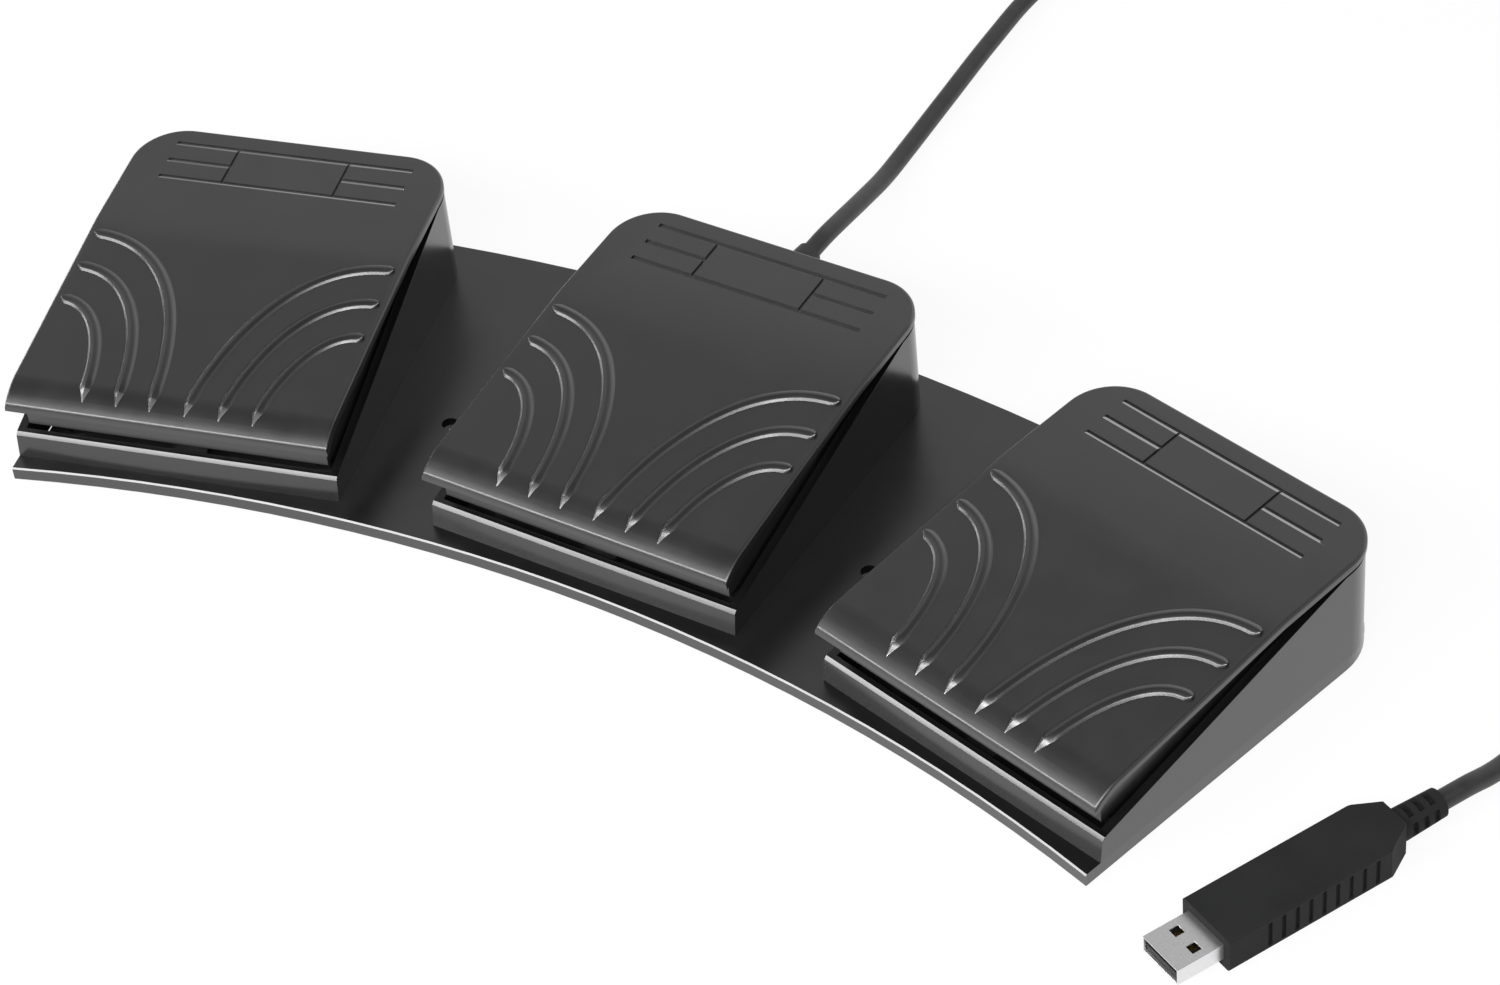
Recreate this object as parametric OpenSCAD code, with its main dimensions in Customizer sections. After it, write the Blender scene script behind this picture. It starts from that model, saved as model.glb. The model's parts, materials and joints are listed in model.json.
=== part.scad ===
// USB foot switch with three pedals in a fan on one arched base, a cable and its plug.
// Millimetres, +Z up, +Y to the rear. The origin is on the floor, under the middle of the base.
// A pedal's own frame has u across, v back from the pedal's front edge, and z up from the floor.

/* [Pedals] */
// Width of a pedal and of its housing
pedal_w = 84; // [76:0.5:92]
// Length of a pedal in plan
pedal_len = 97.5; // [94:0.5:104]
// Thickness of the pedal's plate
plate_t = 2; // [1.6:0.1:2.6]
// Plan distance from the pedal's front edge to its crease
crease_v = 61.5; // [54:0.5:68]
// Height of the crease above the floor
crease_z = 31.6; // [30:0.2:36]
// Tilt of the pedal ahead of the crease, in degrees
front_tilt = 6.9; // [5:0.1:8]
// Tilt of the pedal behind the crease, in degrees
rear_tilt = 2.5; // [1:0.1:4]
// Length of the rounded nose in plan
nose_len = 8; // [6:0.5:12]
// Slope of the nose at its front edge, in degrees
nose_deg = 42; // [30:1:55]
// Height of the nose's upright front face
nose_face = 1.7; // [1.2:0.1:2.6]
// Corner radius at the rear of a pedal
pedal_corner_r = 13; // [6:0.5:18]
// Distance of the side skirts from the pedal's edges
skirt_inset = 2.8; // [2.6:0.1:3.6]
// Room between the front wall and the apron under the nose
apron_gap = 0.7; // [0.5:0.05:1]
// Height of the apron's lower edge above the front wall
apron_rise = 1.6; // [1.2:0.1:3]
// Distance of the front skirt from the pedal's front edge
skirt_v = 8.2; // [7:0.1:10]
// Thickness of the skirts
skirt_t = 1.8; // [1.2:0.1:2.4]
// Height of the front skirt's lower edge above the floor
skirt_z = 11.3; // [10:0.1:14]
// Height of the side skirts' lower edge at their rear end
skirt_rear_z = 24; // [20:0.5:27]
// Full press of a pedal, in degrees
press_deg = 3.5; // [2:0.25:4.5]

/* [Pedal relief] */
// Grip ribs on each half of a pedal
rib_count = 3; // [1:1:4]
// Distance between the ribs' front tips
rib_pitch = 8.75; // [7:0.25:9.5]
// Width of a rib
rib_w = 2.8; // [1.6:0.1:3.6]
// Height of a rib
rib_h = 0.8; // [0.4:0.1:1.2]
// Plan length of the slope at a rib's front tip
rib_tip_len = 2.2; // [1:0.1:3]
// Plan distance from the pedal's front edge to the ribs' front tips
rib_tip_v = 2.8; // [2:0.1:4]
// Plan distance from the front edge to the longest rib's outer end
rib_long_v = 56; // [46:0.5:58]
// Step between the ribs' outer ends
rib_end_step = 11.2; // [8:0.2:14]
// Length of the three grooves behind the crease
groove_len = 64; // [50:0.5:68]
// Width of a groove
groove_w = 0.7; // [0.5:0.1:1.6]
// Depth of a groove
groove_depth = 0.5; // [0.3:0.1:0.9]
// Distance between neighbouring grooves
groove_gap = 6.4; // [5:0.1:7]
// Plan distance from the front edge to the middle groove
groove_v = 85.7; // [80:0.1:87]
// Length of the plain field between the short grooves
field_len = 30; // [20:0.5:40]

/* [Base] */
// Angle between neighbouring pedals, in degrees
fan_step = 14.6; // [14:0.1:17]
// Distance from the fan's centre to the pedals' front edges
fan_r = 427; // [410:1:450]
// Radius of the base's concave front edge
lip_r = 440; // [420:1:470]
// Reach of the base's front edge ahead of the middle pedal
lip_reach = 2.5; // [1.5:0.1:5]
// Plan distance from the pedals' front edges to the base's rear edge
base_back = 100.4; // [98.5:0.1:106]
// Height of the base from its underside to its upper face
base_h = 3.4; // [3.4:0.1:6]
// Thickness of the base's upper skin
skin_t = 1.5; // [1.1:0.1:1.7]
// Thickness of the base's outer wall
base_wall = 1.8; // [1.4:0.1:2.4]
// Radius of the base's outer rear corners
base_corner_r = 17; // [14:0.5:22]
// Thickness of the housings' walls
house_wall = 2.2; // [1.6:0.1:2.4]
// Plan distance from the pedal's front edge to the foot of the housing's front wall
house_foot_v = 1.1; // [0.2:0.1:2]
// Backward lean of the housing's front wall
house_lean = 0.6; // [0:0.1:2.6]
// Height of the front wall's upper edge above the floor
rim_front_z = 10.8; // [10:0.1:13]
// Depth and height of the bevel along the front wall's upper edge
rim_bevel = [1, 1];
// Plan distance at which the sloping rim comes up to the pedal's underside
rim_meet_v = 82; // [78:0.5:84]
// Gap between the rim and the pedal behind that place
rim_gap = 0.6; // [0.5:0.05:1.2]
// Plan distance from the pedal's front edge to the housing's rear face
house_back = 96.3; // [94:0.1:97]
// Radius of the housing's rear corners
house_corner_r = 12; // [6:0.5:16]
// Radius of the two mounting holes
mount_r = 2.05; // [1.5:0.05:2.6]
// Plan distance from the pedals' front arc to the mounting holes
mount_v = 36.9; // [25:0.1:60]
// Height of the rubber feet below the base
foot_h = 0.9; // [0.9:0.1:2.5]
// Radius of a rubber foot
foot_r = 6; // [4:0.5:7]
// Thickness of the steel bottom plate
steel_t = 1.2; // [0.8:0.1:1.3]
// Gap round the bottom plate
steel_gap = 0.3; // [0.2:0.05:0.6]

/* [Hinges, springs and switches] */
// Plan distance from the pedal's front edge to the hinge axis
hinge_v = 86; // [85:0.25:87.5]
// Height of the hinge axis above the floor
hinge_z = 26; // [25:0.1:26.3]
// Radius of a hinge pin
pin_r = 1.5; // [1.2:0.05:1.8]
// Running clearance round a pin
pin_gap = 0.05; // [0.02:0.01:0.1]
// Half the distance between the pin's two ears
ear_u = 32; // [29:0.5:33]
// Thickness of an ear
ear_t = 4; // [3:0.25:5]
// Half the distance between the pedal's two lugs
lug_u = 22; // [19:0.5:23]
// Width of a lug
lug_w = 10; // [6:0.5:11]
// Plan distance from the pedal's front edge to the return spring
spring_v = 22; // [21:0.5:26]
// Middle radius of the spring's turns
spring_r = 5.2; // [4.8:0.1:5.6]
// Wire diameter of the spring
wire_d = 1.1; // [0.8:0.05:1.2]
// Turns of the spring
spring_turns = 6.5; // [5:0.5:8]
// Distance of the switch from the pedal's middle line
switch_u = 12; // [11:0.5:15]
// Plan distance from the hinge axis forward to the switch's plunger
switch_arm = 17; // [16:0.25:18]
// Width, depth and height of the switch's body
switch_size = [20, 6.4, 10.3];
// Radius of the switch's plunger
plunger_r = 1.25; // [0.9:0.05:1.5]
// Height of the plunger above the switch's body
plunger_out = 1.5; // [1.45:0.05:2.5]

/* [Cable] */
// Diameter of the cable
cable_d = 4.8; // [4:0.1:5]
// Distance of the cable's way out from the middle line, to the left
cable_u = 8; // [7:0.5:10]
// Height of the cable's way out above the floor
cable_z = 11.2; // [11:0.1:12.5]
// Length of the rubber boot behind the housing
boot_len = 24; // [18:0.5:32]
// Outer radius of the coil, at the middle of its outermost turn
coil_r = 36.5; // [36:0.25:38]
// Step between neighbouring turns of the coil, and between its two layers
coil_step = 5.3; // [5.25:0.05:5.6]

/* [Plug] */
// Width, thickness and visible length of the plug's metal shell
usb_size = [12, 4.5, 12];
// Sheet thickness of the metal shell
usb_sheet = 0.35; // [0.2:0.05:0.5]
// Width, thickness and length of the plug's grip
grip_size = [16, 9.4, 50.5];
// Length of the plug's ribbed relief
relief_len = 12; // [8:0.5:16]
// Radius of the plug's ribbed relief
relief_r = 3.5; // [2.9:0.1:4.2]
// Heading of the plug, in degrees from the rear towards the right
plug_heading = 26; // [10:1:40]

/* [Hidden] */
SIDES = ["left", "middle", "right"];
PER_PEDAL = ["housing", "pedal", "hinge_pin", "return_spring", "stop_pad", "switch_bracket",
             "switch_board", "switch_body", "switch_plunger"];
$fn = 64;

// Small distances that join or part neighbouring solids
sink = 0.5;
far = 400;
rest_gap = 0.3;

// Heights of the base's layers
base_bottom = foot_h;
base_top = base_bottom + base_h;
skin_bottom = base_top - skin_t;
steel_top = base_bottom + steel_t;

// The fan, and the offset that centres the base on the origin
half_w = pedal_w / 2;
lip_shift = fan_r - lip_reach - lip_r;
end_lip_v = lip_shift * cos(fan_step)
    + sqrt(pow(lip_r, 2) - pow(half_w + lip_shift * sin(fan_step), 2));
front_y = end_lip_v * cos(fan_step) - half_w * sin(fan_step) - fan_r;
centre_y = (front_y + base_back) / 2;
rear_r = fan_r + base_back;

// The pedal's side profile
function top_z(v) = crease_z + (v < crease_v
    ? (v - crease_v) * tan(front_tilt)
    : (v - crease_v) * tan(rear_tilt));
function under_z(v) = top_z(v) - plate_t;
nose_r = nose_len / (sin(nose_deg) - sin(front_tilt));
nose_centre = [nose_len + nose_r * sin(front_tilt), top_z(nose_len) - nose_r * cos(front_tilt)];
nose_steps = 10;
function nose_arc(r) = [for (i = [0:nose_steps])
    let (slope = front_tilt + (nose_deg - front_tilt) * i / nose_steps)
    nose_centre + r * [-sin(slope), cos(slope)]];
function reversed(list) = [for (i = [len(list) - 1:-1:0]) list[i]];

// The housing's rim, and the spigot that stands in the base's opening
front_top_v = house_foot_v + house_lean;
rim_meet_z = under_z(rim_meet_v) - rim_gap;
function rim_z(v) = rim_front_z + (v - front_top_v) * (rim_meet_z - rim_front_z) / (rim_meet_v - front_top_v);
function lean_v(z) = house_foot_v + house_lean * (z - base_top) / (rim_front_z - base_top);
inner_half_w = half_w - house_wall;
inner_back = house_back - house_wall;
spigot_inset = house_wall / 2;
spigot_gap = 0.1;

// The rubber feet: angles are shares of the fan's step
foot_angles = [-1.23, -0.5, 0.5, 1.23];
foot_inset = 9.2;

// The hinge and what presses the switch
ear_r = 3.8;
ear_root = 15;
ear_shoulder = 2;
lug_r = 3.6;
pin_out = 0.5;
pin_len = 2 * ear_u + ear_t + 2 * pin_out;
post_r = 2;
press_sine = sin(press_deg);
skirt_u = half_w - skirt_inset;
apron_v = front_top_v + house_wall + apron_gap;
apron_z = rim_front_z + apron_rise;
skirt_back_gap = 2;
switch_v = hinge_v - switch_arm;

// Boards, brackets and screws
board_t = 1.6;
bracket_t = 2;
bracket_top = steel_top + bracket_t;
cradle_size = [30, 12];
cradle_rise = 3.9;
cradle_top = bracket_top + cradle_rise;
switch_bottom = cradle_top + board_t;
switch_top = switch_bottom + switch_size.z;
plunger_top = switch_top + plunger_out;
plunger_in = 5;
plunger_gap = 0.1;
switch_hole_r = 1.1;
controller_size = [56, 22];
controller_v = 46;
standoff_h = 2.8;
controller_bottom = bracket_top + standoff_h;
controller_top = controller_bottom + board_t;
controller_back = controller_v + controller_size.y / 2;
board_back = switch_v - cradle_size.y / 2;
strip_w = 10;
strip_side = 0.5;
strip_u = [switch_u - strip_side - strip_w, switch_u - strip_side];
screw_r = 1.25;
screw_gap = 0.05;
screw_hole_gap = 0.35;
screw_head = [2.75, 0.7];
screw_tip_gap = 0.5;
bore_roof = 0.8;
boss_r = 3.4;
boss_h = 6.8;
boss_top = steel_top + boss_h;
boss_inset = 9;
boss_u = half_w - boss_inset;
boss_vs = [17, 76];
boss_rib_w = 2;
front_rib_h = 3.8;
boss_rib_tops = [steel_top + front_rib_h, boss_top];
boss_points = [for (side = [-1, 1]) for (v = boss_vs) [side * boss_u, v]];
bracket_boss_v = 40;
bracket_boss_h = 2.2;
bracket_boss_top = bracket_top + bracket_boss_h;
bracket_boss_u = (strip_u[0] + strip_u[1]) / 2;
bracket_points = [[bracket_boss_u, bracket_boss_v], [switch_u, switch_v]];
board_screw_r = 1;
board_screw_head = [2, 1.4];
standoff_r = 2.5;
board_hole_inset = 3;
board_hole = controller_size / 2 - [board_hole_inset, board_hole_inset];
board_holes = [for (x = [-1, 1]) for (y = [-1, 1]) [x * board_hole.x, controller_v + y * board_hole.y]];

// What stands on the controller board, placed from the board's middle or its ends
capacitor_size = [2, 5];
capacitor_inset = 7;
capacitor_pitch = 5;
capacitor_us = [for (k = [1, 0]) controller_size.x / 2 - capacitor_inset - k * capacitor_pitch];
chip_size = [9, 9, 1.5];
chip_gap = 1;
chip_front = -4;
chip_at = [capacitor_us[0] - capacitor_size.x - chip_gap - chip_size.x, chip_front];
crystal_size = [9, 3.6, 3];
crystal_inset = 8;
crystal_front = -6;
crystal_at = [crystal_inset - controller_size.x / 2, crystal_front];
light_size = [2, 1.2, 0.8];
light_at = [crystal_at.x, 2];

// The return spring, the pad that stops the pedal and the spring's seats
spring_bottom = bracket_top;
spring_seat_drop = 2.4;
spring_top = under_z(spring_v) - spring_seat_drop - rest_gap;
spring_guide_gap = 0.7;
spring_guide_r = spring_r - wire_d / 2 - spring_guide_gap;
guide_h = 4.5;
seat_edge = 1.2;
seat_r = spring_r + wire_d / 2 + seat_edge;
pad_r = 4.5;
pad_v = skirt_v + 1;
pad_gap = 0.5;
pad_top = skirt_z - (hinge_v - skirt_v) * press_sine - pad_gap;

// Ribbon cables on the bottom plate
ribbon_w = 4;
ribbon_t = 0.7;
ribbon_gap = 1.2;
ribbon_vs = [controller_back + ribbon_gap, controller_back + ribbon_gap + ribbon_w];
ribbon_drop = 0.8;
ribbon_steps = 8;
controller_pad_u = board_hole.x;
ribbon_side_gap = 1;
middle_pad_u = controller_pad_u - ribbon_w - ribbon_side_gap;
left_pad_inset = 7;
left_pad_u = switch_u + cradle_size.x / 2 - left_pad_inset;
right_pad_u = switch_u - cradle_size.x / 2 + ribbon_w / 2;

// The cable's boot and the route of the cable on the floor
cable_r = cable_d / 2;
boot_flange = [5.5, 2];
boot_neck_r = 4.2;
boot_root_r = 4.9;
boot_tip_wall = 0.8;
boot_tip_r = cable_r + boot_tip_wall;
boot_gap = 0.05;
header_size = [9, 6, 6.5];
header_edge = 0.5;
header_v = controller_back - header_edge - header_size.y / 2;

// The coil: it spirals in on its lower layer, climbs where it turns back, and spirals out above
coil_centre = [190, 178];
coil_start_deg = 50;
coil_lift = 0.6;
coil_turns = 7 + coil_start_deg / 360;
loop_rings = 24;
coil_sides = 6;
coil_climb = 0.5;
coil_low_z = cable_r + coil_lift;
function smooth(t) = let (s = min(max(t, 0), 1)) s * s * (3 - 2 * s);
function coil_point(t) =
    let (angle = coil_start_deg - 360 * t,
         r = coil_r - coil_step * min(t, coil_turns - t),
         rise = coil_step * smooth((t - coil_turns / 2) / coil_climb + 0.5))
    [coil_centre.x + r * cos(angle), coil_centre.y + r * sin(angle), coil_low_z + rise];
coil_entry = cable_d * [sin(coil_start_deg), -cos(coil_start_deg), 0];
coil_exit = cable_d * [0, -1, 0];
coil_rings = round(coil_turns * loop_rings);
coil_path = concat([coil_point(0) - coil_entry],
    [for (i = [0:coil_rings]) coil_point(coil_turns * i / coil_rings)],
    [coil_point(coil_turns) + coil_exit]);
tie_deg = 230;
tie_w = 6;
tie_t = 0.5;
tie_gap = 0.4;
tie_low_gap = 0.05;
tie_inner_gap = 1;
tie_inner_r = coil_r - coil_step * coil_turns / 2 - cable_r - tie_inner_gap;

// The plug lies on the floor, with its tip towards the front
plug_tip = [172.4, -78.6];
plug_axis = [sin(plug_heading), cos(plug_heading), 0];
plug_z = grip_size.y / 2;
plug_len = usb_size.z + grip_size.z + relief_len;
plug_end = [plug_tip.x, plug_tip.y, plug_z] + plug_len * plug_axis;
usb_sunk = 6;
usb_window = 2.4;
usb_window_u = 2.9;
usb_window_back = 5.4;
tongue_size = [11, 1.9];
tongue_back = 0.6;
contact_size = [1.1, 0.25, 7];
contact_count = 4;
contact_pitch = 2.4;
contact_back = 1.4;
grip_ribs = 9;
grip_rib_start = 10.2;
grip_rib_pitch = 3.6;
grip_rib_gap = 1.1;
grip_rib_depth = 0.7;
grip_rib_land = 1.2;
grip_edge_r = 0.9;
grip_cut = [4, 7.2];
relief_slots = 3;
relief_slot = [1.5, 0.9];
relief_bar = 1.6;
relief_bar_degs = [45, 135];
relief_flare = 0.4;

// The route of the cable on the floor, from the boot to the coil and from the coil to the plug
lead_start = [-cable_u, house_back - centre_y, cable_z];
boot_end = lead_start + [0, boot_len, 0];
coil_in = coil_point(0) - coil_entry;
coil_out = coil_point(coil_turns) + coil_exit;
lead_route = concat([lead_start, (lead_start + boot_end) / 2, boot_end, boot_end + [0, 8, -0.1]], [
    [-8.6, 102, 9.4], [-9.8, 114, 6.6], [-11.2, 127, 3.8], [-12.6, 142, 2.6],
    [-14, 165, 2.4], [-15.4, 192, 2.4], [-15.5, 216, 2.4], [-11, 239, 2.4],
    [1, 259, 2.4], [21, 273, 2.4], [48, 280, 2.4], [81, 279, 2.4],
    [115, 271.5, 2.5], [145, 258.5, 2.8], [168, 243.5, 3.1]], [coil_in - 3 * coil_entry, coil_in]);
tail_route = concat([coil_out, coil_out + 2 * coil_exit], [
    [226.5, 148, 6.2], [226.4, 134, 3.8], [226, 120, 2.6], [225, 100, 2.4],
    [223.5, 78, 2.4], [221.5, 56, 2.4], [219, 36, 2.4], [216, 20, 2.4],
    [212, 5, 3]], [plug_end + 8 * plug_axis, plug_end]);
route_steps = 2;
cord_sides = 8;

module on_fan(angle) {
    translate([0, -fan_r - centre_y, 0]) rotate([0, 0, -angle]) translate([0, fan_r, 0]) children();
}

module at_pedal(index) {
    on_fan((index - 1) * fan_step) children();
}

module at_mounts() {
    for (side = [-1, 1]) on_fan(side * fan_step / 2) translate([0, mount_v, 0]) children();
}

// A side profile of [v, z] points, drawn across the width w
module across(w, points) {
    rotate([90, 0, 90]) linear_extrude(w, center = true) polygon(points);
}

// A plan outline whose two rear corners are round
module round_back(w, front, back, r) {
    difference() {
        translate([-w / 2, front]) square([w, back - front]);
        for (side = [-1, 1]) difference() {
            translate([side * w / 2 - (side > 0 ? r : 0), back - r]) square(r);
            translate([side * (w / 2 - r), back - r]) circle(r);
        }
    }
}

// The base's plan outline, drawn in by an inset
module base_outline(inset = 0) {
    r = base_corner_r - inset;
    outer_r = rear_r - inset;
    end_u = half_w - inset;
    corner = [end_u - r, sqrt(pow(outer_r - r, 2) - pow(end_u - r, 2))];
    lean = atan(corner.x / corner.y);
    translate([0, -fan_r - centre_y]) difference() {
        circle(outer_r, $fn = 360);
        translate([0, lip_shift]) circle(lip_r + inset, $fn = 360);
        translate([-far, -2 * far - fan_r]) square([2 * far, 2 * far + fan_r]);
        for (side = [-1, 1]) rotate(-side * fan_step) {
            translate([side > 0 ? end_u : -end_u - 2 * far, -far]) square([2 * far, 4 * far]);
            difference() {
                polygon([[side * corner.x, corner.y],
                         [side * (corner.x + r * sin(lean) * 1.5), corner.y + r * cos(lean) * 1.5],
                         [side * (corner.x + 2 * r), corner.y + 1.5 * r],
                         [side * (corner.x + 1.5 * r), corner.y]]);
                translate([side * corner.x, corner.y]) circle(r);
            }
        }
    }
}

// A housing's plan outline at its foot, drawn in by an inset
module housing_plan(inset) {
    round_back(pedal_w - 2 * inset, house_foot_v + inset, house_back - inset, house_corner_r - inset);
}

module housing_block() {
    bevel_foot = rim_front_z - rim_bevel[1];
    bevel_top_v = front_top_v + rim_bevel[0];
    back = house_back + sink;
    intersection() {
        linear_extrude(far) round_back(pedal_w, 0, house_back, house_corner_r);
        across(pedal_w + sink, [
            [house_foot_v, base_top], [lean_v(bevel_foot), bevel_foot], [bevel_top_v, rim_z(bevel_top_v)],
            [rim_meet_v, rim_meet_z], [back, under_z(back) - rim_gap], [back, base_top]]);
    }
    translate([0, 0, skin_bottom]) linear_extrude(base_top - skin_bottom + sink)
        housing_plan(spigot_inset + spigot_gap);
}

module housing_hollow() {
    intersection() {
        linear_extrude(far) round_back(2 * inner_half_w, 0, inner_back, house_corner_r - house_wall);
        across(pedal_w, [
            [house_foot_v + house_wall, 0], [house_foot_v + house_wall, base_top],
            [front_top_v + house_wall, rim_front_z], [front_top_v + house_wall, far],
            [house_back, far], [house_back, 0]]);
    }
}

module hinge_ears() {
    low = ear_r * cos(45);
    for (side = [-1, 1]) translate([side * ear_u, 0, 0]) {
        across(ear_t, [
            [hinge_v - ear_r, hinge_z], [hinge_v - low, hinge_z - low],
            [inner_back + sink, hinge_z - ear_root], [inner_back + sink, hinge_z + ear_shoulder],
            [hinge_v, hinge_z + ear_r]]);
        translate([0, hinge_v, hinge_z]) rotate([0, 90, 0]) cylinder(h = ear_t, r = ear_r, center = true);
    }
}

// Bosses for the bottom plate's screws, each with a rib to the housing's side wall
module screw_bosses() {
    for (side = [-1, 1]) for (i = [0, 1]) {
        translate([side * boss_u, boss_vs[i], steel_top]) cylinder(h = boss_top - steel_top, r = boss_r);
        translate([side > 0 ? boss_u : -inner_half_w - sink, boss_vs[i] - boss_rib_w / 2, base_top])
            cube([inner_half_w + sink - boss_u, boss_rib_w, boss_rib_tops[i] - base_top]);
    }
}

module housing(index) {
    color("#17181a") at_pedal(index) difference() {
        union() {
            difference() {
                housing_block();
                housing_hollow();
            }
            screw_bosses();
            hinge_ears();
        }
        translate([0, hinge_v, hinge_z]) rotate([0, 90, 0])
            cylinder(h = pin_len, r = pin_r, center = true);
        for (p = boss_points) translate([p.x, p.y, 0])
            cylinder(h = boss_top - bore_roof, r = screw_r + screw_gap);
        if (index == 1) translate([-cable_u, house_back, cable_z]) rotate([90, 0, 0])
            cylinder(h = 4 * house_wall, r = boot_neck_r, center = true);
    }
}

// The flat base: a skin with a rim below it, an opening for each housing, and two mounting holes
module base_shell() {
    color("#17181a") difference() {
        union() {
            difference() {
                translate([0, 0, base_bottom]) linear_extrude(base_h) base_outline();
                linear_extrude(skin_bottom) base_outline(base_wall);
            }
            at_mounts() translate([0, 0, steel_top])
                cylinder(h = skin_bottom - steel_top + sink, r = 2 * mount_r);
        }
        for (i = [0:2]) at_pedal(i) linear_extrude(far) housing_plan(spigot_inset);
        at_mounts() cylinder(h = far, r = mount_r);
    }
}

module bottom_plate() {
    color("#2a2b2e") difference() {
        translate([0, 0, base_bottom]) linear_extrude(steel_t) base_outline(base_wall + steel_gap);
        for (i = [0:2]) at_pedal(i) for (p = concat(boss_points, bracket_points))
            translate([p.x, p.y, 0]) cylinder(h = far, r = screw_r + screw_hole_gap);
        at_mounts() cylinder(h = far, r = mount_r);
    }
}

module rubber_feet() {
    color("#1c1c1c") for (angle = foot_angles) for (v = [foot_inset, base_back - foot_inset])
        on_fan(angle * fan_step) translate([0, v, 0]) cylinder(h = foot_h, r = foot_r);
}

module screw(shank) {
    translate([0, 0, base_bottom - screw_head[1]]) cylinder(h = screw_head[1], r = screw_head[0]);
    translate([0, 0, base_bottom - sink]) cylinder(h = shank + sink, r = screw_r);
}

module plate_screws() {
    color("#8f9296") for (i = [0:2]) at_pedal(i) for (p = boss_points)
        translate([p.x, p.y, 0]) screw(boss_top - bore_roof - screw_tip_gap - base_bottom);
}

module bracket_screws() {
    color("#8f9296") for (i = [0:2]) at_pedal(i) for (p = bracket_points)
        translate([p.x, p.y, 0]) screw(bracket_boss_top - bore_roof - screw_tip_gap - base_bottom);
}

// One grip rib's plan: pointed at its front tip and at its outer end, with more points near both
rib_steps = 24;
rib_power = 2.2;
rib_root = 1.4;
rib_edge = 2;
rib_blunt = 0.12;
rib_tip_taper = 3.6;
rib_end_taper = 4.5;
function rib_tip_u(i) = rib_pitch * (i + 0.5);
function rib_end_v(i) = rib_long_v - rib_end_step * i;
rib_origin_v = -5;
rib_origin_u = half_w - rib_edge;
function rib_at(i, t) =
    let (a = rib_origin_u - rib_tip_u(i),
         b = rib_end_v(i) - rib_origin_v,
         low = asin(pow((rib_tip_v - rib_origin_v) / b, rib_power / 2)),
         angle = low + (90 - low) * t)
    [rib_origin_u - a * pow(cos(angle), 2 / rib_power), rib_origin_v + b * pow(sin(angle), 2 / rib_power)];
function rib_half(p) = rib_w / 2 * min(
    1, rib_blunt + (p.y - rib_tip_v) / rib_tip_taper, rib_blunt + (rib_origin_u - p.x) / rib_end_taper);
function rib_side(i, side) = [for (k = [0:rib_steps])
    let (t = (1 - cos(180 * k / rib_steps)) / 2,
         p = rib_at(i, t),
         along = rib_at(i, min(t + 0.01, 1)) - rib_at(i, max(t - 0.01, 0)),
         n = [-along.y, along.x] / norm(along))
    p + side * rib_half(p) * n];

// The ribs' side profile: it follows the pedal's front, and slopes down to the nose at the tip
function nose_z(v) = nose_centre.y + sqrt(pow(nose_r, 2) - pow(v - nose_centre.x, 2));
rib_profile = concat(
    [[crease_v, crease_z - rib_root], [crease_v, crease_z + rib_h / cos(front_tilt)]],
    [for (p = nose_arc(nose_r + rib_h)) if (p.x > rib_tip_v + rib_tip_len) p],
    [[rib_tip_v, nose_z(rib_tip_v)], [rib_tip_v, nose_z(rib_tip_v) - rib_root],
     [nose_len, top_z(nose_len) - rib_root]]);

module ribs() {
    intersection() {
        across(pedal_w, rib_profile);
        for (i = [0:rib_count - 1]) for (side = [0, 1]) mirror([side, 0, 0]) linear_extrude(far)
            polygon(concat(rib_side(i, 1), reversed(rib_side(i, -1))));
    }
}

// The grooves: two long lines, a short one at each side, and the field's two ends
module grooves() {
    short = (groove_len - field_len) / 2;
    translate([0, groove_v, top_z(groove_v)]) rotate([rear_tilt, 0, 0]) {
        for (row = [-1, 1]) groove_bar(0, row * groove_gap, groove_len, groove_w);
        for (side = [-1, 1]) {
            groove_bar(side * (field_len + short) / 2, 0, short, groove_w);
            groove_bar(side * field_len / 2, 0, groove_w, 2 * groove_gap);
        }
    }
}

module groove_bar(u, v, w, d) {
    translate([u - w / 2, v - d / 2, -groove_depth]) cube([w, d, groove_depth + sink]);
}

module pedal_plate() {
    rear = pedal_len + sink;
    intersection() {
        linear_extrude(far) round_back(pedal_w, -sink, pedal_len, pedal_corner_r);
        across(pedal_w, concat(
            [[rear, top_z(rear)], [crease_v, crease_z]], nose_arc(nose_r),
            [[0, top_of_nose() - nose_face]], reversed(nose_arc(nose_r - plate_t)),
            [[crease_v, crease_z - plate_t], [rear, under_z(rear)]]));
    }
}

function top_of_nose() = nose_arc(nose_r)[nose_steps].y;

module pedal_skirts() {
    back = hinge_v - ear_r - skirt_back_gap;
    across(2 * skirt_u, [
        [skirt_v, skirt_z], [skirt_v + skirt_t, skirt_z],
        [skirt_v + skirt_t, under_z(skirt_v + skirt_t) + sink], [skirt_v, under_z(skirt_v) + sink]]);
    for (side = [-1, 1]) translate([side * (skirt_u - skirt_t / 2), 0, 0]) across(skirt_t, [
        [skirt_v, skirt_z], [back, skirt_rear_z], [back, under_z(back) + sink],
        [crease_v, crease_z - plate_t + sink], [skirt_v, under_z(skirt_v) + sink]]);
}

// The line midway through the nose's wall
function nose_mid(v) = nose_centre.y + sqrt(pow(nose_r - plate_t / 2, 2) - pow(nose_centre.x - v, 2));

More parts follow.
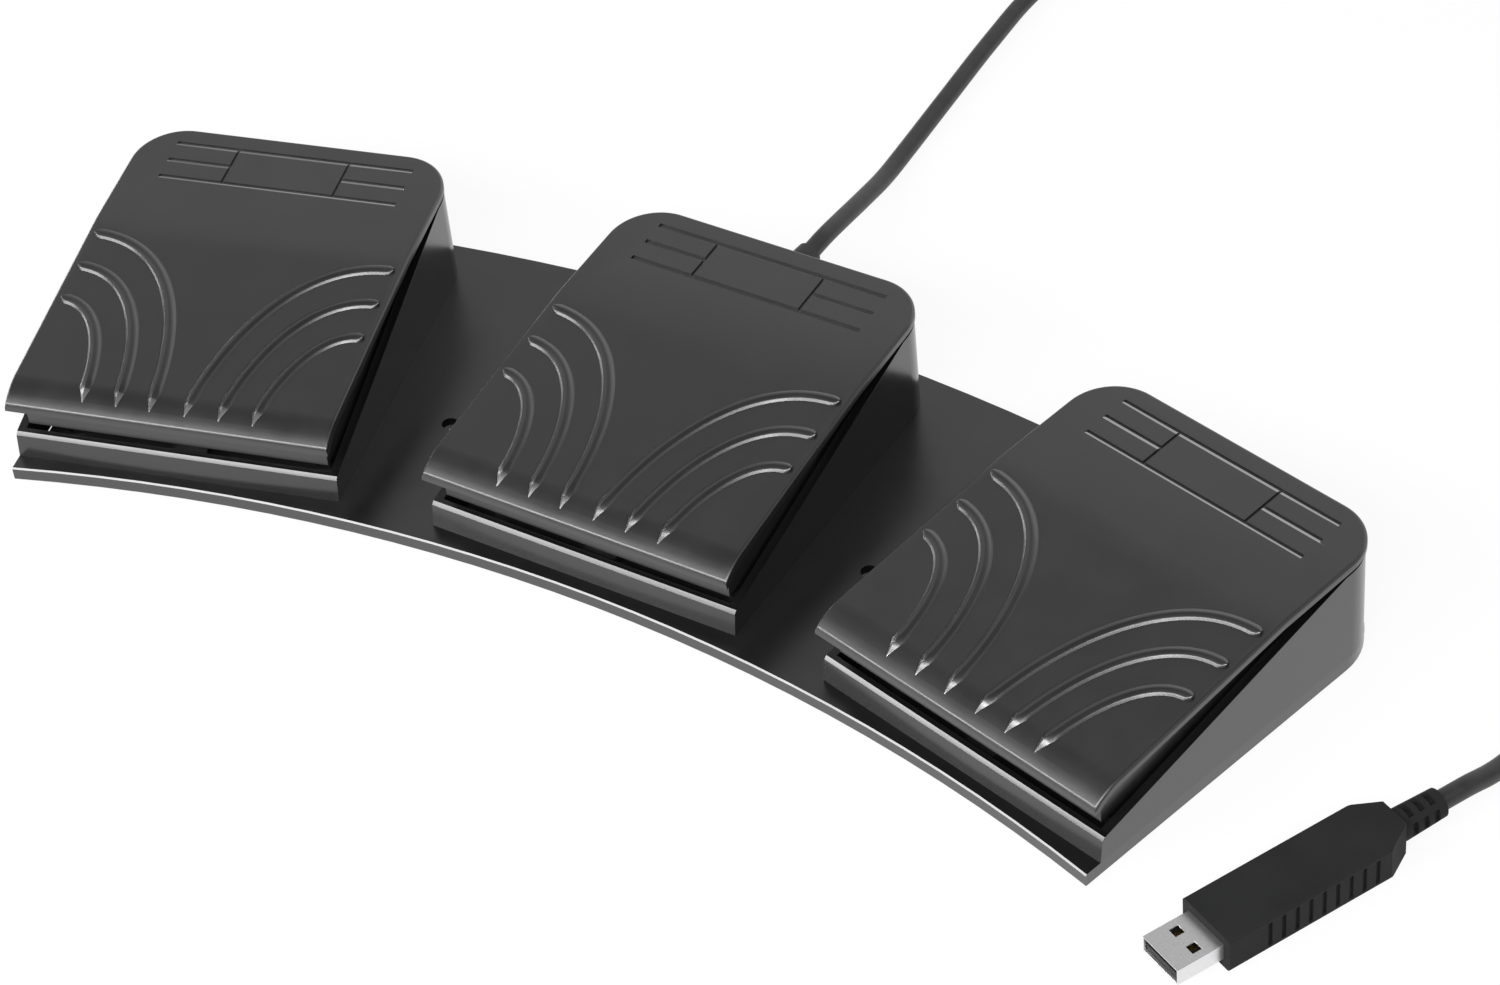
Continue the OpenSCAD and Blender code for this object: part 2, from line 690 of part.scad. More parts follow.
// The short wall under the nose, and the cheeks that join it to the skirts
module pedal_apron() {
    apron_back = apron_v + skirt_t;
    cheek_back = skirt_v + skirt_t;
    across(2 * skirt_u, [
        [apron_v, apron_z], [apron_back, apron_z],
        [apron_back, nose_mid(apron_back)], [apron_v, nose_mid(apron_v)]]);
    for (side = [-1, 1]) translate([side * (skirt_u - skirt_t / 2), 0, 0]) across(skirt_t, concat(
        [[apron_v, apron_z], [apron_v, nose_mid(apron_v)]],
        [for (p = reversed(nose_arc(nose_r - plate_t / 2))) if (p.x > apron_v) p],
        [[cheek_back, under_z(cheek_back) + sink], [cheek_back, apron_z]]));
}

module pedal_lugs() {
    for (side = [-1, 1]) translate([side * lug_u, hinge_v, hinge_z]) {
        rotate([0, 90, 0]) cylinder(h = lug_w, r = lug_r, center = true);
        translate([-lug_w / 2, -lug_r, 0]) cube([lug_w, 2 * lug_r, under_z(hinge_v) + sink - hinge_z]);
    }
}

// The post that presses the switch, and the seat that holds the spring's upper end
module pedal_posts() {
    post_bottom = plunger_top + rest_gap;
    translate([switch_u, switch_v, post_bottom])
        cylinder(h = under_z(switch_v) + sink - post_bottom, r = post_r);
    seat_bottom = under_z(spring_v) - spring_seat_drop;
    translate([0, spring_v, seat_bottom]) cylinder(h = spring_seat_drop + sink, r = seat_r);
    translate([0, spring_v, seat_bottom - guide_h / 2])
        cylinder(h = guide_h / 2 + sink, r = spring_guide_r);
}

module pedal(index) {
    color("#2b2c2e") at_pedal(index) difference() {
        union() {
            pedal_plate();
            pedal_skirts();
            pedal_apron();
            pedal_lugs();
            pedal_posts();
            ribs();
        }
        grooves();
        translate([0, hinge_v, hinge_z]) rotate([0, 90, 0])
            cylinder(h = pin_len, r = pin_r + pin_gap, center = true);
    }
}

module hinge_pin(index) {
    color("#b9bcc0") at_pedal(index) translate([0, hinge_v, hinge_z]) rotate([0, 90, 0])
        cylinder(h = pin_len, r = pin_r, center = true);
}

// The least gap of a wound tube to itself, over points at least half a loop apart
function self_gap(path, loop, d) = min([for (i = [0:len(path) - 1])
    for (j = [i + loop / 2:len(path) - 1]) norm(path[i] - path[j])]) - d;

// A tube along a path that stays near level, as one closed surface of triangles
module tube(path, r, sides) {
    last = len(path) - 1;
    rings = [for (i = [0:last])
        let (d = path[min(i + 1, last)] - path[max(i - 1, 0)],
             along = d / norm(d),
             flat = [along.y, -along.x, 0],
             across_path = flat / norm(flat),
             up = cross(across_path, along))
        for (k = [0:sides - 1]) let (turn = 360 * k / sides)
            path[i] + r * (cos(turn) * across_path + sin(turn) * up)];
    walls = [for (i = [0:last - 1]) for (k = [0:sides - 1])
        let (a = i * sides + k, b = i * sides + (k + 1) % sides)
        each [[a, b, b + sides], [a, b + sides, a + sides]]];
    caps = [for (k = [1:sides - 2])
        each [[0, k + 1, k], [last * sides, last * sides + k, last * sides + k + 1]]];
    polyhedron(rings, concat(walls, caps));
}

spring_rings = 8;
spring_sides = 6;
spring_end_gap = 0.45;
spring_end = wire_d + spring_end_gap;
spring_rise = (spring_top - spring_bottom - wire_d - 2 * spring_end) / (spring_turns - 2);
function spring_z(t) = spring_bottom + wire_d / 2 + (t < 1 ? t * spring_end
    : t < spring_turns - 1 ? spring_end + (t - 1) * spring_rise
    : spring_end + (spring_turns - 2) * spring_rise + (t - spring_turns + 1) * spring_end);

module return_spring(index) {
    path = [for (i = [0:spring_turns * spring_rings]) let (t = i / spring_rings)
        [spring_r * cos(360 * t), spring_r * sin(360 * t), spring_z(t)]];
    echo(spring_gap = self_gap(path, spring_rings, wire_d));
    color("#b9bcc0") at_pedal(index) translate([0, spring_v, 0]) tube(path, wire_d / 2, spring_sides);
}

module stop_pad(index) {
    color("#232323") at_pedal(index) translate([0, pad_v, steel_top])
        cylinder(h = pad_top - steel_top, r = pad_r);
}

// The bracket carries the spring and the switch, and in the middle housing the controller too
module switch_bracket(index) {
    color("#3a3b3d") at_pedal(index) difference() {
        union() {
            translate([0, spring_v, steel_top]) cylinder(h = bracket_t, r = seat_r);
            translate([0, spring_v, steel_top]) cylinder(h = bracket_t + guide_h, r = spring_guide_r);
            translate([0, spring_v - ribbon_w, steel_top]) cube([strip_u[1], 2 * ribbon_w, bracket_t]);
            translate([strip_u[0], spring_v, steel_top])
                cube([strip_u[1] - strip_u[0], switch_v - spring_v, bracket_t]);
            translate([bracket_boss_u, bracket_boss_v, steel_top])
                cylinder(h = bracket_boss_top - steel_top, r = boss_r);
            translate([switch_u - cradle_size.x / 2, switch_v - cradle_size.y / 2, steel_top])
                cube([cradle_size.x, cradle_size.y, cradle_top - steel_top]);
            if (index == 1) controller_tray();
        }
        for (p = bracket_points)
            translate([p.x, p.y, 0]) cylinder(h = bracket_boss_top - bore_roof, r = screw_r + screw_gap);
        if (index == 1) for (p = board_holes)
            translate([p.x, p.y, steel_top + bore_roof]) cylinder(h = far, r = board_screw_r + screw_gap);
    }
}

module controller_tray() {
    translate([-controller_size.x / 2, controller_v - controller_size.y / 2, steel_top])
        cube([controller_size.x, controller_size.y, bracket_t]);
    for (p = board_holes)
        translate([p.x, p.y, steel_top]) cylinder(h = controller_bottom - steel_top, r = standoff_r);
}

module switch_board(index) {
    color("#1f5a37") at_pedal(index)
        translate([switch_u - cradle_size.x / 2, switch_v - cradle_size.y / 2, cradle_top])
            cube([cradle_size.x, cradle_size.y, board_t]);
}

module switch_body(index) {
    color("#202124") at_pedal(index) translate([switch_u, switch_v, 0]) difference() {
        translate([-switch_size.x / 2, -switch_size.y / 2, switch_bottom]) cube(switch_size);
        translate([0, 0, switch_top - plunger_in]) cylinder(h = far, r = plunger_r + plunger_gap);
        for (side = [-1, 1]) translate([side * switch_size.x / 4, 0, switch_bottom + switch_size.z / 3])
            rotate([90, 0, 0]) cylinder(h = far, r = switch_hole_r, center = true);
    }
}

module switch_plunger(index) {
    stroke_room = switch_arm * press_sine + rest_gap;
    color("#c9382c") at_pedal(index)
        translate([switch_u, switch_v, switch_top - plunger_in + stroke_room])
            cylinder(h = plunger_top - switch_top + plunger_in - stroke_room, r = plunger_r);
}

module controller_board() {
    color("#1f5a37") at_pedal(1) difference() {
        translate([-controller_size.x / 2, controller_v - controller_size.y / 2, controller_bottom])
            cube([controller_size.x, controller_size.y, board_t]);
        for (p = board_holes) translate([p.x, p.y, 0]) cylinder(h = far, r = board_screw_r + screw_gap);
    }
}

module controller_chip() {
    color("#111113") at_pedal(1) translate([chip_at.x, controller_v + chip_at.y, controller_top])
        cube(chip_size);
}

// A crystal, two capacitors and a small light on the controller
module board_parts() {
    color("#a8abb0") at_pedal(1) translate([0, controller_v, controller_top]) {
        translate([crystal_at.x, crystal_at.y, 0]) cube(crystal_size);
        for (u = capacitor_us) translate([u, 0, 0]) cylinder(h = capacitor_size.y, r = capacitor_size.x);
        translate([light_at.x, light_at.y, 0]) cube(light_size);
    }
}

module board_screws() {
    color("#8f9296") at_pedal(1) for (p = board_holes) translate([p.x, p.y, 0]) {
        translate([0, 0, controller_top]) cylinder(h = board_screw_head.y, r = board_screw_head.x);
        translate([0, 0, bracket_top]) cylinder(h = controller_top - bracket_top + sink, r = board_screw_r);
    }
}

module cable_header() {
    color("#e6e1d3") at_pedal(1)
        translate([-cable_u - header_size.x / 2, header_v - header_size.y / 2, controller_top])
            cube(header_size);
}

// A flat cable on the bottom plate, from an outer switch's board to the controller
module side_ribbon(side, pad_u) {
    inner_deg = atan(controller_pad_u / (fan_r + ribbon_vs[0]));
    outer_deg = fan_step + side * atan(pad_u / (fan_r + ribbon_vs[0]));
    outer_start = ribbon_vs[0] + ribbon_w / 2;
    angles = [for (k = [0:ribbon_steps]) side * (inner_deg + (outer_deg - inner_deg) * k / ribbon_steps)];
    on_fan(0) translate([0, -fan_r, steel_top]) linear_extrude(ribbon_t) polygon(concat(
        [for (a = angles) (fan_r + ribbon_vs[0]) * [sin(a), cos(a)]],
        [for (a = reversed(angles)) (fan_r + ribbon_vs[1]) * [sin(a), cos(a)]]));
    on_fan(side * fan_step) translate([pad_u - ribbon_w / 2, 0, steel_top]) {
        translate([0, outer_start, 0]) cube([ribbon_w, board_back - outer_start, ribbon_t]);
        translate([0, board_back - ribbon_drop, 0])
            cube([ribbon_w, ribbon_drop, cradle_top + board_t - steel_top]);
    }
    on_fan(0) translate([side * controller_pad_u - ribbon_w / 2, controller_back, steel_top]) {
        cube([ribbon_w, ribbon_vs[1] - controller_back, ribbon_t]);
        cube([ribbon_w, ribbon_drop, controller_top - steel_top]);
    }
}

module left_ribbon() {
    color("#77797c") side_ribbon(-1, left_pad_u);
}

module right_ribbon() {
    color("#77797c") side_ribbon(1, right_pad_u);
}

module middle_ribbon() {
    color("#77797c") at_pedal(1)
        translate([middle_pad_u - ribbon_w / 2, controller_back, controller_top - ribbon_t])
            cube([ribbon_w, board_back - controller_back, ribbon_t]);
}

module cable_inner() {
    start = header_v + header_size.y / 2;
    color("#1d1e20") at_pedal(1) translate([-cable_u, start, cable_z]) rotate([-90, 0, 0])
        cylinder(h = house_back - start, r = cable_r);
}

// The boot's neck fills the hole in the rear wall, with a flange on each side and a tapered tail
module cable_boot() {
    color("#1b1c1e") at_pedal(1) translate([-cable_u, house_back, cable_z]) rotate([-90, 0, 0]) difference() {
        union() {
            translate([0, 0, -house_wall]) cylinder(h = house_wall + sink, r = boot_neck_r);
            translate([0, 0, -house_wall - boot_flange[1]]) cylinder(h = boot_flange[1], r = boot_flange[0]);
            cylinder(h = boot_flange[1], r = boot_flange[0]);
            cylinder(h = boot_len, r1 = boot_root_r, r2 = boot_tip_r);
        }
        cylinder(h = far, r = cable_r + boot_gap, center = true);
    }
}

// Points along a smooth curve through the route's own points
function between(a, b, c, d, t) = 0.5 * (2 * b + (c - a) * t + (2 * a - 5 * b + 4 * c - d) * t * t
    + (3 * b - a - 3 * c + d) * t * t * t);
function smooth_route(p) = let (last = len(p) - 1) concat(
    [for (i = [0:last - 1]) for (k = [0:route_steps - 1])
        between(p[max(i - 1, 0)], p[i], p[i + 1], p[min(i + 2, last)], k / route_steps)], [p[last]]);

module cable_lead() {
    color("#1d1e20") tube(smooth_route(lead_route), cable_r, cord_sides);
}

module cable_coil() {
    echo(coil_gap = self_gap(coil_path, loop_rings, cable_d));
    color("#1d1e20") tube(coil_path, cable_r, coil_sides);
}

module cable_tail() {
    color("#1d1e20") tube(smooth_route(tail_route), cable_r, cord_sides);
}

// A flat strap round all the turns of the coil
module coil_tie() {
    inner = [coil_r + cable_r + tie_gap - tie_inner_r, coil_step + cable_d + tie_gap + tie_low_gap];
    low = coil_lift - tie_low_gap;
    color("#2c2c2e") translate([coil_centre.x, coil_centre.y, 0]) rotate([0, 0, tie_deg]) rotate([90, 0, 0])
        linear_extrude(tie_w, center = true) difference() {
            translate([tie_inner_r - tie_t, low - tie_t]) square(inner + [2 * tie_t, 2 * tie_t]);
            translate([tie_inner_r, low]) square(inner);
        }
}

// The plug's frame: x across, y back from the tip, z up from the middle of its thickness
module on_plug() {
    translate([plug_tip.x, plug_tip.y, plug_z]) rotate([0, 0, -plug_heading]) children();
}

module usb_shell() {
    color("#c4c6c9") on_plug() difference() {
        translate([-usb_size.x / 2, 0, -usb_size.y / 2])
            cube([usb_size.x, usb_size.z + usb_sunk, usb_size.y]);
        translate([-usb_size.x / 2 + usb_sheet, -sink, -usb_size.y / 2 + usb_sheet])
            cube([usb_size.x - 2 * usb_sheet, far, usb_size.y - 2 * usb_sheet]);
        for (side = [-1, 1]) translate([side * usb_window_u - usb_window / 2, usb_window_back, 0])
            cube([usb_window, usb_window, far]);
    }
}

module usb_tongue() {
    floor_z = -usb_size.y / 2 + usb_sheet;
    color("#141416") on_plug() {
        translate([-tongue_size.x / 2, tongue_back, floor_z])
            cube([tongue_size.x, usb_size.z + usb_sunk - tongue_back, tongue_size.y]);
    }
}

module usb_contacts() {
    floor_z = -usb_size.y / 2 + usb_sheet + tongue_size.y;
    color("#c9a24a") on_plug() for (i = [0:contact_count - 1])
        translate([(i - (contact_count - 1) / 2) * contact_pitch - contact_size.x / 2, contact_back, floor_z])
            cube([contact_size.x, contact_size.z, contact_size.y]);
}

// The grip's outline in plan: cut corners at the cable's end
module grip_plan() {
    w = grip_size.x / 2;
    polygon([[-w, 0], [w, 0], [w, grip_size.z - grip_cut.y], [w - grip_cut.x, grip_size.z],
             [-w + grip_cut.x, grip_size.z], [-w, grip_size.z - grip_cut.y]]);
}

module grip_section() {
    inner = [grip_size.x / 2 - grip_edge_r, grip_size.y / 2 - grip_edge_r];
    for (x = [-1, 1]) for (z = [-1, 1]) translate([x * inner.x, z * inner.y]) circle(grip_edge_r);
    square([2 * inner.x, grip_size.y], center = true);
    square([grip_size.x, 2 * inner.y], center = true);
}

module plug_grip() {
    color("#1a1b1c") on_plug() translate([0, usb_size.z, 0]) difference() {
        intersection() {
            translate([0, 0, -grip_size.y]) linear_extrude(2 * grip_size.y) grip_plan();
            rotate([-90, 0, 0]) linear_extrude(grip_size.z) grip_section();
        }
        for (side = [-1, 1]) for (i = [0:grip_ribs - 1])
            translate([side * grip_size.x / 2, grip_rib_start + i * grip_rib_pitch + grip_rib_gap / 2, 0])
                cube([2 * grip_rib_depth, grip_rib_gap, grip_size.y - 2 * grip_rib_land], center = true);
        translate([-usb_size.x / 2, -sink, -usb_size.y / 2])
            cube([usb_size.x, usb_sunk + sink, usb_size.y]);
    }
}

module plug_relief() {
    pitch = relief_len / (relief_slots + 1);
    color("#1a1b1c") on_plug() translate([0, usb_size.z + grip_size.z, 0]) rotate([-90, 0, 0]) difference() {
        cylinder(h = relief_len, r1 = relief_r + relief_flare, r2 = relief_r);
        for (i = [1:relief_slots]) translate([0, 0, i * pitch]) difference() {
            cylinder(h = relief_slot[0], r = relief_r + relief_flare + sink, center = true);
            cylinder(h = relief_slot[0], r = relief_r - relief_slot[1], center = true);
            for (a = relief_bar_degs) rotate(a)
                cube([4 * relief_r, relief_bar, relief_slot[0]], center = true);
        }
    }
}

module one_of(piece, index) {
    if (piece == "housing") housing(index);
    if (piece == "pedal") pedal(index);
    if (piece == "hinge_pin") hinge_pin(index);
    if (piece == "return_spring") return_spring(index);
    if (piece == "stop_pad") stop_pad(index);
    if (piece == "switch_bracket") switch_bracket(index);
    if (piece == "switch_board") switch_board(index);
    if (piece == "switch_body") switch_body(index);
    if (piece == "switch_plunger") switch_plunger(index);
}

base_shell();
bottom_plate();
rubber_feet();
plate_screws();
bracket_screws();
for (piece = PER_PEDAL) for (i = [0:2])
    one_of(piece, i);
controller_board();
controller_chip();
board_parts();
board_screws();
cable_header();
left_ribbon();
middle_ribbon();
right_ribbon();
cable_inner();
cable_boot();
cable_lead();
cable_coil();
cable_tail();
coil_tie();
plug_grip();
plug_relief();
usb_shell();
usb_tongue();
usb_contacts();
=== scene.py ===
"""Looks of a foot switch with three hinged pedals, its cable and its plug. All lengths are metres."""

import json
import math

import bmesh
import bpy
from mathutils import Matrix, Quaternion, Vector


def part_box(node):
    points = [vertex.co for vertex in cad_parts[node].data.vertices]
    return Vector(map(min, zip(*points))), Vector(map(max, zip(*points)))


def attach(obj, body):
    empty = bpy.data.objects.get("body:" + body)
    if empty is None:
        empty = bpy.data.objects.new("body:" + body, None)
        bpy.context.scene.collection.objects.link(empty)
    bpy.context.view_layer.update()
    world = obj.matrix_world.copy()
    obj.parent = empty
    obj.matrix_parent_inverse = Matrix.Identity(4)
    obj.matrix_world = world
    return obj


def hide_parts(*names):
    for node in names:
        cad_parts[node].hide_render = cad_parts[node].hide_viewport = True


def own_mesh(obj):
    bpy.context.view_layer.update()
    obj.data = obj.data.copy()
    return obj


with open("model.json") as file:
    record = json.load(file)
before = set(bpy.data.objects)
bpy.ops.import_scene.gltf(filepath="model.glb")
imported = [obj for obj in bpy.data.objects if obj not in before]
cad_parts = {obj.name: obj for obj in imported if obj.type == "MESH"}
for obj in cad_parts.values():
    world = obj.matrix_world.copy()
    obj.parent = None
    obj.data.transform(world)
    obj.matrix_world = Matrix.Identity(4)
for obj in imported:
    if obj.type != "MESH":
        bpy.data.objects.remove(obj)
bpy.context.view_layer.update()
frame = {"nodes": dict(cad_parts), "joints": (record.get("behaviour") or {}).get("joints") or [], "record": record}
NODES = frame["nodes"]
SIDES = ("left", "middle", "right")
MM = 0.001

# How near points count as one, how near a point counts as on a face or an edge,
# and the bends that count as flat and as sharp
WELD = 2e-6
NEAR = 0.1 * MM
FLAT_DEG = 0.4
SHARP_DEG = 35

# The pedal's own frame has u across, v back from its front edge, and z up from the floor
HINGE_V = 86 * MM
PEDAL_HALF_W = 42 * MM
PEDAL_LEN = 97.5 * MM
PEDAL_CORNER_R = 13 * MM
PEDAL_EDGE = 0.75 * MM
PEDAL_EDGE_STEPS = 5
PEDAL_EDGE_LOW_Z = 8 * MM
PEDAL_SHORT_EDGE = 0.2 * MM
CREASE_V = 61.5 * MM
CREASE_Z = 31.6 * MM
FRONT_TILT = math.radians(6.9)
REAR_TILT = math.radians(2.5)
NOSE_LEN = 8 * MM
NOSE_DEG = math.radians(42)
NOSE_R = NOSE_LEN / (math.sin(NOSE_DEG) - math.sin(FRONT_TILT))
FRONT_SLOPE = math.tan(FRONT_TILT)
REAR_SLOPE = math.tan(REAR_TILT)
NOSE_V = NOSE_LEN + NOSE_R * math.sin(FRONT_TILT)
NOSE_Z = CREASE_Z + (NOSE_LEN - CREASE_V) * FRONT_SLOPE - NOSE_R * math.cos(FRONT_TILT)

# The grip ribs
RIB_COUNT = 3
RIB_PITCH = 8.75 * MM
RIB_HALF_W = 1.65 * MM
RIB_H = 0.8 * MM
RIB_TIP_V = 2.8 * MM
RIB_LONG_V = 56 * MM
RIB_END_STEP = 11.2 * MM
RIB_ORIGIN = (40 * MM, -5 * MM)
RIB_POWER = 2.2
RIB_BLUNT = 0.06
RIB_END_LIFT = 3
RIB_TURN = 0.01
RIB_TIP_TAPER = 4.6 * MM
RIB_TIP_DROP = 2.6 * MM
RIB_TIP_HIGHLIGHT_LEN = 4.0 * MM
RIB_ROOF_FADE = 0.7 * MM
RIB_END_TAPER = 2.4 * MM
RIB_STEPS = 44
RIB_SIDES = 20
RIB_FLANK = 0.3
RIB_FLANK_RISE = 0.62
RIB_ROOT = 0.35 * MM
RIB_PROUD = 0.03 * MM
RIB_SHARP_DEG = 40

# The grooves behind the crease
GROOVE_ROWS = [row * MM for row in (79.3, 85.7, 92.1)]
GROOVE_W = 0.7 * MM
GROOVE_HALF_LEN = 32 * MM
GROOVE_EDGE_W = 0.75 * MM
GROOVE_EDGE_DROP = 0.15 * MM
GROOVE_NEAR = 0.06 * MM

# The housings, as far as their edges are rounded
HOUSE_FOOT_Z = 4.3 * MM
HOUSE_WALL = 2.2 * MM
HOUSE_FRONT_V = 4.0 * MM
HOUSE_BACK_V = 96.3 * MM
BEVEL_FOOT = (1.7 * MM, 9.8 * MM)
BEVEL_TRIM = 0.32 * MM
BEVEL_NEAR = 0.15 * MM
RIM_EDGE = 0.12 * MM
RIM_EDGE_STEPS = 2
RIM_SHORT_EDGE = 0.3 * MM
WALL_FRONT_V = 2 * MM

# The base's upper edge, its mounting holes, the longest step round them, and how level its top is
BASE_EDGE_W = 0.35 * MM
MOUNT_PLACE = (58.95 * MM, -3.1 * MM)
MOUNT_R = 2.2 * MM
BASE_HOLE_STEP = 1.2 * MM
BASE_TOP_NEAR = 0.01 * MM
BASE_LEVEL = 0.98

# The return springs
SPRING_V = 22 * MM
SPRING_R = 5.2 * MM
WIRE_R = 0.55 * MM
SPRING_TURNS = 6.5
SPRING_END = 1.55 * MM
WIRE_STEPS = 28
WIRE_SIDES = 10
WIRE_SHARP_DEG = 60

# The cable
CABLE_D = 4.8 * MM
CABLE_R = CABLE_D / 2
CABLE_U = 8 * MM
CABLE_Z = 11.2 * MM
BOOT_LEN = 24 * MM
COIL_CENTRE = (190 * MM, 178 * MM)
COIL_START = math.radians(50)
COIL_TURNS = 7 + 50 / 360
COIL_R = 36.5 * MM
COIL_STEP = 5.3 * MM
COIL_LOW_Z = CABLE_R + 0.6 * MM
COIL_CLIMB = 0.5
COIL_POINTS = 60

# The plug
PLUG_TIP = (172.4 * MM, -78.6 * MM)
PLUG_Z = 4.7 * MM
PLUG_LEN = 74.5 * MM
PLUG_HEADING = math.radians(26)
GRIP_EDGE = 0.3 * MM
USB_EDGE = 0.12 * MM

# The photograph's camera: its lens in mm, its place and the way it looks
LENS = 98.98
SENSOR_W = 36
CAMERA_PLACE = (0.43860, -0.58250, 0.66105)
CAMERA_RIGHT = (0.8533, 0.5149, -0.0810)
CAMERA_FORWARD = (-0.4283, 0.6041, -0.6720)

# The floor, and the light that the surroundings give by height and from behind
FLOOR_SIZE = 8
FLOOR_Z = -0.05 * MM
FLOOR_LEVEL = 0.9
FLOOR_GLOW = 0.9
LIGHT_TARGET = Vector((0, 0, 0.02))
WORLD_STOPS = ((0.0, 0.22), (0.5, 0.3), (0.6, 0.7), (0.66, 1.05), (0.735, 0.42), (0.84, 0.2), (1.0, 0.15))
BACK_GLOW = 0.8
BACK_GLOW_FROM = 0.68
BACK_GLOW_FULL = 0.8


# Small helpers for meshes and objects

def add_object(name, data, body, material):
    """A new piece that rides on a body and takes its finish from a slot of the record."""
    obj = bpy.data.objects.new(name, data)
    bpy.context.scene.collection.objects.link(obj)
    data.materials.append(material)
    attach(obj, body)
    return obj


def smooth(t):
    """A soft step from 0 to 1."""
    t = min(max(t, 0), 1)
    return t * t * (3 - 2 * t)


def mesh_from(name, bm):
    mesh = bpy.data.meshes.new(name)
    bm.to_mesh(mesh)
    bm.free()
    return mesh


def shade(bm, sharp_deg=SHARP_DEG):
    """Smooth shading, with the edges that bend by more than an angle kept sharp."""
    for face in bm.faces:
        face.smooth = True
    for edge in bm.edges:
        bend = edge.calc_face_angle(0.0) if len(edge.link_faces) == 2 else math.pi
        edge.smooth = bend < math.radians(sharp_deg)


def weight_normals(obj):
    modifier = obj.modifiers.new("flat faces stay flat", "WEIGHTED_NORMAL")
    modifier.keep_sharp = True


def copied(node):
    """A copy of a node's mesh, as one joined surface."""
    bm = bmesh.new()
    bm.from_mesh(NODES[node].data)
    bmesh.ops.remove_doubles(bm, verts=bm.verts, dist=WELD)
    return bm


def merge_flat(bm):
    """Merges the triangles of flat faces."""
    bmesh.ops.dissolve_limit(bm, angle_limit=math.radians(FLAT_DEG), verts=bm.verts, edges=bm.edges)


def round_edges(bm, chosen, width, segments, least_deg=30, clamp=True):
    """Rounds the sharp edges that a test picks."""
    edges = [
        edge for edge in bm.edges
        if len(edge.link_faces) == 2
        and edge.calc_face_angle(0.0) > math.radians(least_deg)
        and chosen(edge)
    ]
    bmesh.ops.bevel(
        bm, geom=edges, offset=width, offset_type="OFFSET", segments=segments,
        profile=0.5, affect="EDGES", clamp_overlap=clamp,
    )


def pedal_frame(side):
    """The matrix from a pedal's own frame to the row frame, taken from its hinge."""
    joint = next(j for j in frame["joints"] if j["name"] == f"{side}_pedal_hinge")
    across = Vector(joint["axis"])
    back = Vector((-across.y, across.x, 0))
    origin = Vector(joint["pos_m"]) - HINGE_V * back
    matrix = Matrix.Identity(4)
    matrix.col[0][:3] = across
    matrix.col[1][:3] = back
    matrix.col[3][:3] = (origin.x, origin.y, 0)
    return matrix


FRAMES = {side: pedal_frame(side) for side in SIDES}


# Materials

class Shader:
    """A material's node tree, with short ways to add the nodes used here."""

    def __init__(self, name):
        self.material = bpy.data.materials.new(name)
        self.material.use_nodes = True
        self.nodes = self.material.node_tree.nodes
        self.links = self.material.node_tree.links
        self.surface = self.nodes["Principled BSDF"]
        self.place = self.nodes.new("ShaderNodeTexCoord").outputs["Object"]

    def noise(self, size, detail=2.0, roughness=0.5, stretch=None):
        """Noise whose blobs are about size across, stretched along an axis if asked."""
        node = self.nodes.new("ShaderNodeTexNoise")
        node.inputs["Scale"].default_value = 1 / size
        node.inputs["Detail"].default_value = detail
        node.inputs["Roughness"].default_value = roughness
        place = self.place
        if stretch:
            mapping = self.nodes.new("ShaderNodeMapping")
            mapping.inputs["Scale"].default_value = stretch
            self.links.new(place, mapping.inputs["Vector"])
            place = mapping.outputs["Vector"]
        self.links.new(place, node.inputs["Vector"])
        return node.outputs["Fac"]

    def spread(self, value, low, high, start=0.3, end=0.7):
        """A value's middle range, spread over another one."""
        node = self.nodes.new("ShaderNodeMapRange")
        node.inputs["From Min"].default_value = start
        node.inputs["From Max"].default_value = end
        node.inputs["To Min"].default_value = low
        node.inputs["To Max"].default_value = high
        self.links.new(value, node.inputs["Value"])
        return node.outputs["Result"]

    def tint(self, value, dark, light):
        """A colour between two, led by a noise."""
        node = self.nodes.new("ShaderNodeValToRGB")
        first, last = node.color_ramp.elements
        first.position = 0.35
        first.color = (*dark, 1)
        last.position = 0.65
        last.color = (*light, 1)
        self.links.new(value, node.inputs["Fac"])
        self.links.new(node.outputs["Color"], self.surface.inputs["Base Color"])

    def rough(self, value, low, high):
        self.links.new(self.spread(value, low, high), self.surface.inputs["Roughness"])

    def bump(self, value, depth, under=None):
        """Relief of a depth, over another relief if one is given."""
        node = self.nodes.new("ShaderNodeBump")
        node.inputs["Distance"].default_value = depth
        node.inputs["Strength"].default_value = 1.0
        self.links.new(value, node.inputs["Height"])
        if under:
            self.links.new(under, node.inputs["Normal"])
        self.links.new(node.outputs["Normal"], self.surface.inputs["Normal"])
        return node.outputs["Normal"]


# With this index the specular level can reach the share of light that the photograph's plastic mirrors
DENSE_IOR = 2.0
DENSE_MIRROR = ((DENSE_IOR - 1) / (DENSE_IOR + 1)) ** 2


def grey(level):
    """A grey with a trace of blue."""
    return (level, level * 1.01, level * 1.04)


def moulded(name, level, rough, grain, grain_depth, flow=0.0, mirror=0.05):
    """Moulded plastic that mirrors a share of the light straight on: a fine grain, and faint flow."""
    shader = Shader(name)
    shader.tint(shader.noise(18 * MM, detail=3), grey(level * 0.9), grey(level * 1.12))
    shader.rough(shader.noise(9 * MM, detail=4), rough * 0.92, rough * 1.1)
    normal = shader.bump(shader.noise(grain, detail=1, roughness=0.4), grain_depth)
    if flow:
        shader.bump(shader.noise(26 * MM, detail=1, roughness=0.4), flow, under=normal)
    shader.surface.inputs["IOR"].default_value = DENSE_IOR
    shader.surface.inputs["Specular IOR Level"].default_value = mirror / (2 * DENSE_MIRROR)
    return shader.material


